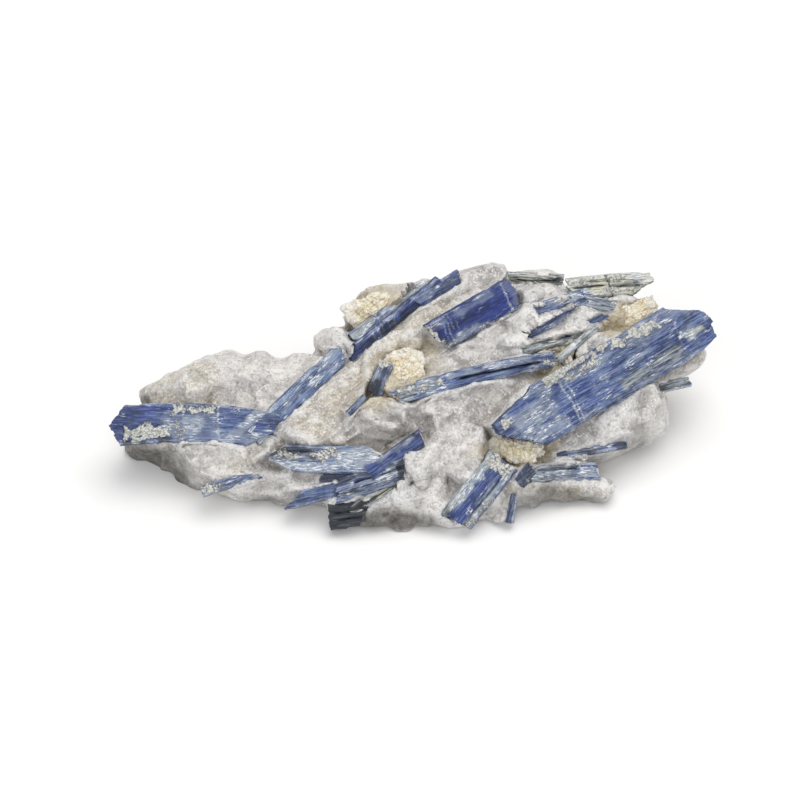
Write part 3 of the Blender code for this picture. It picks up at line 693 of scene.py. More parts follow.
# %% The look of the largest blade
LOOKS |= {
    ("broad_right_blade", "broad"): Look(
        0.42, 0.0, 0.55,
        crusts=(Patch(1.4, 4.6, 0.10, 0.26, 1.0), Patch(35, 49, 0.32, 0.5, 0.85),
                Patch(17, 36, 0.42, 0.56, 0.95), Patch(22, 31, 0.24, 0.44, 0.6),
                Patch(0, 6, -0.4, -0.2, 0.25)),
        films=(Patch(10, 56, -0.5, -0.42, 0.6), Patch(4, 17, -0.2, 0.3, 0.6),
               Patch(54, 60, -0.22, -0.02, 0.75), Patch(2, 20, 0.36, 0.5, 0.6),
               Patch(22, 36, 0.2, 0.4, 0.6), Patch(40, 58, 0.2, 0.5, 0.4),
               Patch(6, 18, -0.46, -0.1, 0.6), Patch(30, 46, -0.05, 0.1, 0.5)),
        veins=(Vein(20.4, 20.0, 0.5, 0.95), Vein(21.4, 21.6, 0.35, 0.8), Vein(8.2, 2.6, 0.45, 0.8),
               Vein(52.6, 53.4, 0.3, 0.35)),
        royals=(Patch(21.5, 38, -0.15, 0.42, 0.45), Patch(24, 36, -0.5, -0.3, 0.4),
                Patch(47, 60, 0.05, 0.5, 0.35), Patch(0, 8, -0.1, 0.1, 0.25)),
        sages=(Patch(34, 53, -0.44, -0.16, 0.45), Patch(54, 59.5, -0.2, -0.02, 0.7),
               Patch(0, 4, -0.5, 0.1, 0.3)),
        slits=(Slit(34, 58, 0.08, 0.3, 0.18), Slit(28, 50, -0.2, 0.25, 0.15),
               Slit(49, 58, 0.24, 0.4, 0.25)),
        darks=(Patch(56, 63, 0.1, 0.3, 0.35), Patch(0, 4, -0.5, 0.5, 0.2),
               Patch(6, 52, -0.52, -0.44, 0.4))),
}
print("looks so far:", len(LOOKS))

# %% Looks at the upper right, and of the small blades in the middle
LOOKS |= {
    ("upper_right_bundle", "blue"): Look(
        0.25, 0.05, 0.7, films=(Patch(4, 16, 0.1, 0.5, 0.6),),
        darks=(Patch(0, 16, -0.52, -0.3, 0.5),)),
    ("upper_right_bundle", "band"): Look(
        0.1, 0.4, 0.8, films=(Patch(0, 14, 0.0, 0.5, 0.6),),
        darks=(Patch(4, 14, -0.5, -0.1, 0.5),)),
    ("upper_right_bundle", "fork"): Look(
        0.3, 0.0, 0.55, films=(Patch(8, 20, -0.5, 0.0, 0.6),),
        darks=(Patch(0, 7, -0.5, 0.5, 0.5), Patch(0, 20, 0.36, 0.52, 0.6))),
    ("upper_right_bundle", "grey"): Look(
        0.0, 1.0, 1.1,
        crusts=(Patch(2, 17, 0.24, 0.5, 0.6), Patch(10, 21, -0.5, -0.15, 0.6)),
        films=(Patch(18, 26, -0.1, 0.5, 0.8), Patch(0, 8, -0.5, 0.5, 0.5)),
        royals=(Patch(19, 26, -0.2, 0.4, 0.3),),
        cracks=(Vein(12.6, 11.4, 0.45, 1.0),),
        slits=(Slit(2, 12, 0.02, 0.4, 0.7), Slit(12, 22, -0.1, 0.4, 0.6),
               Slit(6, 18, 0.22, 0.3, 0.4)),
        darks=(Patch(3, 20, -0.15, 0.15, 0.8),)),
    ("back_blade", "back"): Look(
        0.0, 0.9, 0.7, slits=(Slit(1, 14, -0.1, 0.5, 0.6),),
        darks=(Patch(0, 15, -0.5, 0.1, 0.7),)),
    ("short_right_blade", "short"): Look(
        0.1, 0.6, 0.65, films=(Patch(0, 18, -0.5, 0.1, 0.5),),
        slits=(Slit(2, 15, 0.3, 0.5, 0.8),), darks=(Patch(3, 16, 0.1, 0.5, 0.7),)),
    ("rib_blade", "rib"): Look(
        0.0, 0.7, 0.9, films=(Patch(0, 14, -0.5, 0.5, 0.4),), darks=(Patch(0, 14, -0.5, 0.0, 0.5),)),
    ("chip_blade", "chip"): Look(
        0.35, 0.1, 0.3,
        films=(Patch(0, 8, 0.2, 0.5, 0.9), Patch(0, 8, -0.5, -0.24, 0.9))),
    ("dark_nub", "nub"): Look(
        0.0, 0.2, 0.45, crusts=(Patch(8.5, 12, -0.6, 0.6, 0.7),),
        films=(Patch(3, 8, -0.1, 0.6, 0.7),),
        darks=(Patch(-1, 6, -0.6, 0.6, 1.0), Patch(0, 9, -0.6, -0.1, 0.9))),
    ("edge_sliver", "edge"): Look(0.1, 0.2, 0.6, darks=(Patch(0, 8, -0.5, 0.0, 0.5),)),
}
print("looks so far:", len(LOOKS))

# %% Looks along the lower edge
LOOKS |= {
    ("lower_bundle", "left"): Look(
        0.1, 0.15, 0.80,
        crusts=(Patch(3, 9, -0.1, 0.3, 0.55), Patch(10, 18, -0.1, 0.4, 0.5)),
        films=(Patch(17, 31, -0.4, 0.5, 1.0), Patch(2, 16, -0.5, -0.2, 0.8),
               Patch(4, 14, -0.1, 0.1, 0.5)),
        royals=(Patch(20, 26, -0.2, 0.2, 0.4),),
        slits=(Slit(2, 13, 0.28, 0.6, 0.6), Slit(3, 16, -0.1, 0.4, 0.3)),
        darks=(Patch(0, 12, 0.1, 0.5, 0.85),)),
    ("lower_bundle", "bright"): Look(
        0.55, 0.0, 0.35, films=(Patch(4, 15, 0.30, 0.5, 0.7),),
        darks=(Patch(15.2, 18, -0.5, 0.5, 1.0), Patch(0, 5, -0.5, 0.0, 0.4),
               Patch(0, 16, -0.52, -0.38, 0.7))),
    ("lower_bundle", "hollow"): Look(
        0.1, 0.1, 0.4, darks=(Patch(0, 18, -0.5, 0.5, 0.8),)),
    ("lower_bundle", "middle"): Look(
        0.15, 0.2, 0.75,
        royals=(Patch(2, 16, -0.2, 0.25, 0.6),), films=(Patch(8, 20, -0.3, 0.2, 0.5),),
        slits=(Slit(6, 21, 0.1, 0.4, 0.6), Slit(1, 14, -0.22, 0.3, 0.4)),
        darks=(Patch(18.0, 23, -0.6, 0.6, 1.0), Patch(-1, 19, 0.20, 0.6, 0.9),
               Patch(2, 20, -0.42, -0.2, 0.7))),
    ("lower_bundle", "tail"): Look(
        0.15, 0.05, 0.45, darks=(Patch(0, 16, -0.5, 0.2, 0.6),)),
    ("lower_bundle", "low"): Look(
        0.0, 0.9, 0.8, films=(Patch(2, 15, 0.1, 0.5, 0.5),),
        slits=(Slit(2, 14, -0.1, 0.3, 0.5),),
        darks=(Patch(0, 15, -0.5, -0.1, 0.8), Patch(12, 16, -0.5, 0.5, 0.9))),
    ("lower_bundle", "foot"): Look(
        0.0, 0.7, 0.3, slits=(Slit(1, 11, 0.1, 0.4, 0.5), Slit(1, 10, -0.2, 0.4, 0.4)),
        veins=(Vein(6.0, 4.0, 0.3, 0.6),), darks=(Patch(-1, 13, -0.6, 0.6, 1.1),)),
    ("lower_bundle", "heel"): Look(0.0, 0.6, 0.3, darks=(Patch(-1, 11, -0.6, 0.6, 1.1),)),
    ("lower_middle_blade", "bottom"): Look(
        0.4, 0.0, 0.45,
        crusts=(Patch(0, 4.5, -0.4, 0.5, 0.6), Patch(2, 21, 0.40, 0.5, 0.5)),
        films=(Patch(1, 21, -0.6, -0.20, 1.0), Patch(2, 20, 0.24, 0.5, 0.9)),
        royals=(Patch(5, 21, -0.16, 0.22, 0.8),),
        sages=(Patch(0, 22, -0.7, -0.28, 1.3), Patch(3, 20, 0.3, 0.5, 0.5)),
        slits=(Slit(3, 19, 0.3, 0.4, 0.5),),
        darks=(Patch(18.6, 22, -0.5, 0.5, 0.7),)),
    ("lower_right_bundle", "teal"): Look(
        0.0, 0.35, 0.75, films=(Patch(1, 12, -0.2, 0.3, 0.5),),
        royals=(Patch(14, 20, -0.5, 0.5, 0.8),),
        slits=(Slit(2, 14, 0.2, 0.35, 0.5), Slit(3, 16, -0.2, 0.3, 0.3)),
        darks=(Patch(0, 14, -0.5, -0.2, 0.6), Patch(2, 12, 0.2, 0.5, 0.45))),
    ("lower_right_bundle", "plate"): Look(
        0.1, 0.3, 0.4, veins=(Vein(2.0, 3.0, 0.25, 0.8), Vein(4.0, 3.4, 0.2, 0.6)),
        darks=(Patch(0, 7, -0.5, 0.5, 0.7),)),
    ("ledge_sliver", "ledge"): Look(
        0.15, 0.25, 0.5, films=(Patch(6, 19, 0.1, 0.5, 0.5),), darks=(Patch(0, 19, -0.5, 0.1, 0.75),)),
    ("left_sliver", "left"): Look(
        0.15, 0.1, 0.7, crusts=(Patch(0, 6.5, -0.5, 0.5, 0.55),),
        darks=(Patch(5, 17, -0.5, -0.1, 0.5),)),
    ("far_right_blade", "far"): Look(
        0.1, 0.5, 0.6, films=(Patch(0, 9, 0.1, 0.5, 0.5),), darks=(Patch(0, 9, -0.5, 0.1, 0.6),)),
    ("foot_sliver", "foot"): Look(0.1, 0.25, 0.5, darks=(Patch(0, 8, -0.5, 0.5, 0.45),)),
}
print("looks:", len(LOOKS))

# %% [markdown]
# ## Kyanite: from a list of places to masks
#
# A mask is one number at each point: how much of a crust, film, shade or slit is there. It
# could be painted by hand onto an image, but then it would blur up close and could not be
# changed. Here it is worked out from the distance to each listed patch or line, and noise
# moves that distance in and out, so the edges wander as they do in nature.

# %% Masks on a blade
PATCH_ROUGHNESS = 2.2
PATCH_SOFTNESS = 0.9
PATCH_WANDER = 2.4
VEIN_WANDER = 1.7
VEIN_EDGE = (0.35, 0.65)
SLIT_WANDER = 6.0
SLIT_TAPER = 2.0
LINE_ROUGHNESS = 0.35
SEEDS_APART = 31.7


def on_blade(x, share, blade, seed):
    """Points of a flat noise space for a blade: along it, across it, and apart by the seed."""
    apart = np.full_like(x, SEEDS_APART * seed)
    return np.stack([x, share * blade.width, apart], axis=-1).reshape(-1, 3)


def patch_mask(patches, x, share, blade, seed):
    """How covered each place is, 0 to 1: the distance inside each patch's nearest side, moved
    in or out by noise, over the softness of its edge. Where patches overlap, the larger."""
    mask = np.zeros_like(x)
    rough = layered_noise(on_blade(x, share, blade, seed), PATCH_WANDER, seed).reshape(x.shape)
    for patch in patches:
        across = np.minimum(share - patch.low, patch.high - share) * blade.width
        inside = np.minimum(np.minimum(x - patch.x0, patch.x1 - x), across)
        covered = ramp(inside + PATCH_ROUGHNESS * rough, -PATCH_SOFTNESS / 2, PATCH_SOFTNESS)
        mask = np.maximum(mask, patch.strength * covered)
    return mask


def line_mask(veins, x, share, blade, seed):
    """How strongly each place lies on a line across the blade: the line's place follows the
    share from its low to its high end and wanders by noise."""
    mask = np.zeros_like(x)
    wander = layered_noise(on_blade(x, share, blade, seed), VEIN_WANDER, seed).reshape(x.shape)
    for vein in veins:
        centre = vein.x_low + (vein.x_high - vein.x_low) * (share + 0.5)
        away = np.abs(x - centre + LINE_ROUGHNESS * wander * min(2.0, 1.0 + vein.width))
        outside = ramp(away, VEIN_EDGE[0] * vein.width, VEIN_EDGE[1] * vein.width)
        mask = np.maximum(mask, vein.strength * (1.0 - outside))
    return mask


def slit_mask(slits, x, share, blade, seed):
    """How deep each place lies in a slit along the blade, in mm: full depth on the slit's
    line, which wanders a little, and none past its half width or its ends."""
    depth = np.zeros_like(x)
    middle = on_blade(x, share * 0.0, blade, seed)
    wander = layered_noise(middle, SLIT_WANDER, seed).reshape(x.shape)
    for slit in slits:
        away = np.abs((share - slit.share) * blade.width + LINE_ROUGHNESS * wander)
        ends = ramp(np.minimum(x - slit.x0, slit.x1 - x), 0.0, SLIT_TAPER)
        depth = np.maximum(depth, slit.depth * ends * (1.0 - ramp(away, 0.0, slit.width)))
    return depth


def seed_of(node, blade):
    """A blade's own seed for noise, from the letters of its names."""
    return sum(map(ord, node + blade.name)) % 97


def blade_masks(node, blade, x, share):
    """Every named mask of a blade at the given places."""
    look = LOOKS[node, blade.name]
    seed = seed_of(node, blade)
    return {
        "crust": patch_mask(look.crusts, x, share, blade, seed + 1),
        "film": np.maximum(patch_mask(look.films, x, share, blade, seed + 2),
                           line_mask(look.veins, x, share, blade, seed + 3)),
        "crack": line_mask(look.cracks, x, share, blade, seed + 4),
        "slit": slit_mask(look.slits, x, share, blade, seed + 5),
        "royal": np.maximum(look.royal, patch_mask(look.royals, x, share, blade, seed + 6)),
        "sage": np.maximum(look.sage, patch_mask(look.sages, x, share, blade, seed + 7)),
        # dark: partly darker crystal, partly painted shade along lower edges and at sunken ends
        "dark": patch_mask(look.darks, x, share, blade, seed + 8),
    }


print("seed of the largest blade:", seed_of("broad_right_blade", BLADES["broad_right_blade"][0]))

# %% [markdown]
# ## Kyanite: strips
#
# A broad crystal is seldom one clean plate. It split along its length as it grew and broke,
# so it is a row of strips, each with its own height and its own broken ends. The packed
# blades draw them at random from the blade's name, and the same draws are made here in the
# same order, so that the dressed blade steps where its solid steps.

# %% Strips across a blade
STRIP_WEIGHT = (0.6, 1.4)
LOW_STRIP = 0.20
HIGH_STRIP = 0.06


def strips_of(node, blade):
    """The edges of a blade's strips, as shares, and for each strip how far its upper side sits
    low, its lower side high, and its two ends back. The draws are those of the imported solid."""
    rng = random.Random(node + blade.name)
    weights = [rng.uniform(*STRIP_WEIGHT) for _ in range(blade.strips)]
    edges = np.concatenate([[-0.5], -0.5 + np.cumsum(weights) / sum(weights)])
    rows = []
    for i in range(blade.strips):
        drop = rng.uniform(0.0, LOW_STRIP if i % 2 else HIGH_STRIP) * blade.thick
        rise = rng.uniform(0.0, LOW_STRIP) * blade.thick
        rows.append((drop, rise, rng.uniform(0.0, blade.ragged), rng.uniform(0.0, blade.ragged)))
    return edges, np.array(rows)


def across_strips(node, blade, shares):
    """Drop, rise and the two set-backs of the strip at each share, with the end cuts added."""
    edges, rows = strips_of(node, blade)
    strip = np.clip(np.searchsorted(edges, shares, side="right") - 1, 0, blade.strips - 1)
    drop, rise, back, front = rows[strip].T
    back = back + np.interp(shares, *np.array(blade.start_cut).T)
    front = front + np.interp(shares, *np.array(blade.end_cut).T)
    return drop, rise, back, front


edges, _ = strips_of("broad_right_blade", BLADES["broad_right_blade"][0])
print("edges of the largest blade's strips:", edges.round(2))

# %% [markdown]
# ## Kyanite: relief
#
# The relief of a blade's face is a sum, in millimetres: steps of thin layers that have come
# away, grooves along the blade, a soft roll, cracks and slits cut in, and crusts laid on. The
# steps are long noise rounded to whole levels. The grooves are noise too, in patches about
# fifty times as long as wide, so they run far along the blade, as on the real crystal.

# %% Relief of a blade's face
STEP_SIZE = (7.0, 2.2)
STEP_LEVELS = 2.2
STEP_HEIGHT = 0.10
GROOVE_SIZE = (22.0, 0.42)
GROOVE_DEPTH = 0.035
ROLL_SIZE = 5.0
ROLL_HEIGHT = 0.10
CRUST_GRAIN = 0.7
CRUST_HEIGHT = 0.42
CRUST_LEVEL = 0.7
CRUST_ROUGHNESS = 0.8
VEIN_DEPTH = 0.08
CRACK_DEPTH = 0.45
BLADES_APART = 13.0


def long_noise(x, share, blade, size, own_seed, seed):
    """Layered noise whose patches are as long and as wide as the size says, in mm. The blade's
    own seed keeps its noise apart from the other blades'."""
    length, width = size
    apart = np.full_like(x, BLADES_APART * own_seed)
    at = np.stack([x / length, share * blade.width / width, apart], axis=-1)
    return layered_noise(at.reshape(-1, 3), 1.0, seed).reshape(x.shape)


def face_relief(blade, x, share, masks, seed):
    """Steps, plus grooves, a soft roll and crusts, minus veins, cracks and slits, in mm."""
    steps = np.round(STEP_LEVELS * long_noise(x, share, blade, STEP_SIZE, seed, seed))
    grooves = long_noise(x, share, blade, GROOVE_SIZE, seed, seed + 5)
    places = on_blade(x, share, blade, seed)
    roll = layered_noise(places, ROLL_SIZE, seed + 9).reshape(x.shape)
    grains = facets(places, CRUST_GRAIN, seed + 11).reshape(x.shape)
    relief = STEP_HEIGHT * steps * (1.0 - masks["crust"])
    relief += GROOVE_DEPTH * grooves + ROLL_HEIGHT * roll - ROLL_HEIGHT
    relief += masks["crust"] * CRUST_HEIGHT * (CRUST_LEVEL + CRUST_ROUGHNESS * grains)
    return relief - VEIN_DEPTH * masks["film"] - CRACK_DEPTH * masks["crack"] - masks["slit"]


print("steps, grooves and roll in mm:", STEP_HEIGHT, GROOVE_DEPTH, ROLL_HEIGHT)

# %% [markdown]
# ## Kyanite: the two edges
#
# Kyanite splinters, so no edge stays straight for long, and from the side it shows the thin
# layers that it splits into. Seen from above the outline is nibbled by bites of two sizes.
# Down each edge the points bulge to a low ridge, and layers are chipped out of them.

# %% Edges of a blade
SIDE_ROWS = 7
SIDE_SHARES = np.arange(1, SIDE_ROWS + 1) / (SIDE_ROWS + 1)
SIDE_RIDGE = 0.12
CHIP_SIZE = (5.0, 0.45)
CHIP_DEPTH = 0.35
LARGE_BITE = (0.75, 3.6)
SMALL_BITE = (0.22, 0.9)
SIDES_APART = 40.0
NARROW = 5.0


def nibbled(blade, x, share, seed):
    """Places across the blade, with its two edges nibbled inwards: the half width on each side
    loses bites of two sizes, which are noise along the blade where it is above zero. A narrow
    blade has smaller ones."""
    side = SIDES_APART * np.sign(share)
    along = np.stack([x, side, np.full_like(x, seed)], axis=-1).reshape(-1, 3)
    bites = np.zeros(x.size)
    for number, (depth, length) in enumerate((LARGE_BITE, SMALL_BITE)):
        bites += depth * np.maximum(0.0, layered_noise(along, length, seed + 60 + number))
    most = min(1.0, blade.width / NARROW)
    return share * (blade.width - 2.0 * most * bites.reshape(x.shape))


def edge_part(blade, x, upper, lower, sign, seed):
    """One edge's points from the upper to the lower side: x, share, height, and how far they
    stand out, which is the side ridge times a sine, less the chips where noise is below 0."""
    shape = (len(x), SIDE_ROWS)
    x = np.broadcast_to(x, shape)
    z = upper + (lower - upper) * SIDE_SHARES
    layers = np.stack([x / CHIP_SIZE[0], z / CHIP_SIZE[1], np.full(shape, sign * seed)], axis=-1)
    chips = CHIP_DEPTH * layered_noise(layers.reshape(-1, 3), 1.0, seed + 30).reshape(shape)
    ridge = SIDE_RIDGE * blade.thick * np.sin(math.pi * SIDE_SHARES)
    out = sign * (ridge + np.minimum(chips, 0.0))
    return {"x": x, "share": np.full(shape, sign * 0.5), "z": z, "out": out}


print("points down each edge:", SIDE_ROWS)

# %% [markdown]
# ## Kyanite: the grid of one blade
#
# A blade's points make a grid: stations along it, and at each station a ring that runs over
# the upper side, down the far edge, back under the lower side and up the near edge. The ring
# keeps its count from end to end, so each groove and strip is one line of the grid. The ends
# of the columns are set back by the cut, by the strip and by thin splinters.

# %% The grid of one blade
COLUMN_WIDTH = 0.2
STATION_LENGTH = 0.42
FEWEST = (5, 8)
STRIP_SHARE = 0.40
SPLINTER = 0.5
SPLINTER_WIDTH = 0.5
EDGE_WEAR = 0.28
THINNEST = 0.4


def ring_order(upper, far, lower, near):
    """One station's points in a ring: upper side, far edge, lower side and near edge."""
    return np.concatenate([upper, far, lower[:, ::-1], near[:, ::-1]], axis=1)


def blade_grid(node, blade):
    """Places of a blade in its own frame, as arrays of stations by ring points: x along it,
    share across it, z and y. The upper and lower sides are half the thickness from the middle,
    less the strips' set-backs, plus the relief, and worn down along the two edges."""
    seed = seed_of(node, blade)
    length = np.linalg.norm(display(*blade.end) - display(*blade.start))
    shares = np.linspace(-0.5, 0.5, max(FEWEST[0], round(blade.width / COLUMN_WIDTH)))
    along = np.linspace(0.0, 1.0, max(FEWEST[1], round(length / STATION_LENGTH)))[:, None]
    drop, rise, back, front = across_strips(node, blade, shares)
    strands = np.zeros((len(shares), 3))
    strands[:, 0] = shares * blade.width / SPLINTER_WIDTH
    back = back + SPLINTER * np.maximum(0.0, layered_noise(strands, 1.0, seed + 21))
    front = front + SPLINTER * np.maximum(0.0, layered_noise(strands, 1.0, seed + 22))
    x = back + (length - front - back) * along
    share = np.broadcast_to(shares, x.shape)
    masks = blade_masks(node, blade, x, share)
    bare = {name: np.zeros_like(x) for name in masks}
    wear = EDGE_WEAR * (1.0 - ramp((0.5 - np.abs(share)) * blade.width, 0.0, 0.5)) ** 2
    relief = face_relief(blade, x, share, masks, seed)
    upper = blade.thick / 2.0 - STRIP_SHARE * drop + relief - wear
    lower = rise - blade.thick / 2.0 - face_relief(blade, x, share, bare, seed + 40) + wear
    lower = np.minimum(lower, upper - THINNEST)
    far = edge_part(blade, x[:, [-1]], upper[:, [-1]], lower[:, [-1]], 1.0, seed)
    near = edge_part(blade, x[:, [0]], upper[:, [0]], lower[:, [0]], -1.0, seed)
    top = {"x": x, "share": share, "z": upper, "out": np.zeros_like(x)}
    bottom = {**top, "z": lower}
    grid = {name: ring_order(top[name], far[name], bottom[name], near[name]) for name in top}
    grid["y"] = nibbled(blade, grid["x"], grid["share"], seed) + grid["out"]
    return grid, len(shares), length


print("column and station in mm:", COLUMN_WIDTH, STATION_LENGTH)

# %% [markdown]
# ## Kyanite: faces, and closed ends
#
# The body is a tube of four-sided faces. Its two open ends could be capped with one large
# face each, but a broken crystal end shows its layers. So each end is a small grid of its
# own, whose rim is the tube's last ring, and its inner points are broken inwards in layers.

# %% Faces of a blade, and its closed ends
END_LAYER = (0.9, 0.35)
END_DEPTH = 0.45


def tube_faces(stations, ring):
    """Four-sided faces between each two stations, round the ring."""
    k, p = np.meshgrid(np.arange(stations - 1), np.arange(ring), indexing="ij")
    after = (p + 1) % ring
    return np.stack([k * ring + p, k * ring + after, (k + 1) * ring + after, (k + 1) * ring + p],
                    axis=-1).reshape(-1, 4)


def end_indices(columns, first, spare):
    """A grid of point numbers that closes one end, rows from the upper to the lower side. Its
    rim is the ring of that station, whose numbers start at first, and its inner points are
    new, and start at spare."""
    rows = SIDE_ROWS + 2
    grid = np.zeros((rows, columns), np.int64)
    grid[0] = first + np.arange(columns)
    grid[-1] = first + columns + SIDE_ROWS + np.arange(columns)[::-1]
    grid[1:-1, -1] = first + columns + np.arange(SIDE_ROWS)
    grid[1:-1, 0] = first + 2 * columns + 2 * SIDE_ROWS - 1 - np.arange(SIDE_ROWS)
    grid[1:-1, 1:-1] = spare + np.arange(SIDE_ROWS * (columns - 2)).reshape(SIDE_ROWS, -1)
    return grid


def grid_faces(grid):
    """Four-sided faces between the neighbouring numbers of a grid."""
    return np.stack([grid[:-1, :-1], grid[:-1, 1:], grid[1:, 1:], grid[1:, :-1]],
                    axis=-1).reshape(-1, 4)


def end_points(grid, columns, station, inward, seed):
    """The inner points of a closed end: on the line from the upper to the lower side at each
    share, and broken inwards by noise that runs in layers."""
    upper = {name: array[station, 1:columns - 1] for name, array in grid.items()}
    bottom = slice(columns + SIDE_ROWS, 2 * columns + SIDE_ROWS)
    lower = {name: array[station, bottom][::-1][1:-1] for name, array in grid.items()}
    rows = SIDE_SHARES[:, None]
    mixed = {name: upper[name] + (lower[name] - upper[name]) * rows for name in grid}
    y, z = mixed["y"], mixed["z"]
    layers = np.stack([y / END_LAYER[0], z / END_LAYER[1], np.full_like(y, seed)], axis=-1)
    broken = 1.0 + layered_noise(layers.reshape(-1, 3), 1.0, seed).reshape(y.shape)
    mixed["x"] = mixed["x"] + inward * END_DEPTH * broken
    return {name: array.ravel() for name, array in mixed.items()}


print("faces that close each end, for 10 columns:", len(grid_faces(end_indices(10, 0, 0))))

# %% [markdown]
# ## Kyanite: a whole blade, and its values
#
# The grid lies in the blade's own frame, so it is bent, turned and moved to its place in the
# stone at the very end. What the finish must know goes along as values at the points: the
# masks, more shade on edges, broken ends and slits, and grain, the point's place in the
# blade's own frame, which lets the streaks run along every blade whichever way it points.

# %% A whole blade
FACE_FADE = 0.3
CUT_SHADE = 1.6
END_SHADE = 0.5
EDGE_SHADE = 0.35
RIM_WIDTH = 0.55
GRAIN_APART = np.array((53.0, 0.0, 19.0))


def blade_axes(blade):
    """The blade's start and its three axes in the stone's frame. Its broad face looks out of
    the display face, turned about the blade by the roll."""
    start = display(*blade.start)
    along = display(*blade.end) - start
    along /= np.linalg.norm(along)
    out = W_AXIS - along * (W_AXIS @ along)
    out /= np.linalg.norm(out)
    roll = math.radians(blade.roll)
    out = out * math.cos(roll) + np.cross(along, out) * math.sin(roll)
    return start, np.array([along, np.cross(out, along), out])


def bend_of(blade, x, length):
    """How far a blade is bent sideways at x: not at all at its ends, and by its bow halfway."""
    return blade.bow * 4.0 * (x / length) * (1.0 - x / length)


def finish_values(node, blade, flat, local, body, number):
    """The values that the finish reads: the masks, with crusts and films on the upper side
    alone, and dark as the largest of its mask, the edges', the ends' and the cuts' shade."""
    values = blade_masks(node, blade, flat["x"], flat["share"])
    on_face = ramp(flat["z"], 0.0, FACE_FADE * blade.thick)
    for name in ("crust", "film"):
        values[name] = values[name] * on_face
    cuts = np.clip(CUT_SHADE * (values.pop("slit") + values.pop("crack")), 0.0, 1.0)
    ends = np.where(np.arange(len(local)) >= body, END_SHADE, 0.0)
    edges = EDGE_SHADE * (1.0 - on_face)
    values["dark"] = np.maximum.reduce([values["dark"], edges, ends, cuts])
    values["haze"] = np.full(len(local), LOOKS[node, blade.name].haze)
    inside = (0.5 - np.abs(flat["share"])) * blade.width
    values["rim"] = on_face * (1.0 - ramp(inside, 0.0, RIM_WIDTH))
    values["grain"] = local + number * GRAIN_APART
    return values


def blade_mesh_arrays(node, blade, number):
    """Points in mm, faces, and the values that the finish reads, of one whole blade."""
    grid, columns, length = blade_grid(node, blade)
    stations, ring = grid["x"].shape
    seed = seed_of(node, blade)
    first = end_points(grid, columns, 0, 1.0, seed + 50)
    last = end_points(grid, columns, -1, -1.0, seed + 51)
    flat = {name: np.concatenate([array.ravel(), first[name], last[name]])
            for name, array in grid.items()}
    body = stations * ring
    faces = np.concatenate([
        tube_faces(stations, ring),
        grid_faces(end_indices(columns, 0, body))[:, ::-1],
        grid_faces(end_indices(columns, body - ring, body + SIDE_ROWS * (columns - 2)))])
    y = flat["y"] + bend_of(blade, flat["x"], length)
    local = np.stack([flat["x"], y, flat["z"]], axis=1)
    values = finish_values(node, blade, flat, local, body, number)
    start, axes = blade_axes(blade)
    return start + local @ axes, faces, values


print("axes of the largest blade:", blade_axes(BLADES["broad_right_blade"][0])[1].round(2).tolist())

# %% [markdown]
# ## Kyanite: the finish
#
# The blue is not even. Long streaks of paler blue run along the blade, whitish where fine
# cleavage cracks let light in, with white flecks strung out between them. All of that is
# noise, drawn out along the blade: the mesh carries each point's place in its blade's own
# frame as the attribute grain, and squeezing its first number stretches the noise that way.
# The masks that the mesh carries then lay royal blue, grey-green, films, crusts and shade on it.

# %% Kyanite finish
ROYAL_BLUE = rgb(0.010, 0.024, 0.185)
MIDDLE_BLUE = rgb(0.055, 0.098, 0.275)
PALE_BLUE = rgb(0.230, 0.305, 0.480)
SLATE = rgb(0.020, 0.038, 0.105)
SAGE_DARK = rgb(0.042, 0.052, 0.050)
SAGE = rgb(0.230, 0.250, 0.200)
SAGE_PALE = rgb(0.640, 0.630, 0.510)
FILM = rgb(0.360, 0.410, 0.460)
FLECK = rgb(0.780, 0.800, 0.810)
CRUST = rgb(0.740, 0.735, 0.690)
CRUST_SHADE = rgb(0.340, 0.355, 0.340)
DEEP = rgb(0.008, 0.012, 0.022)


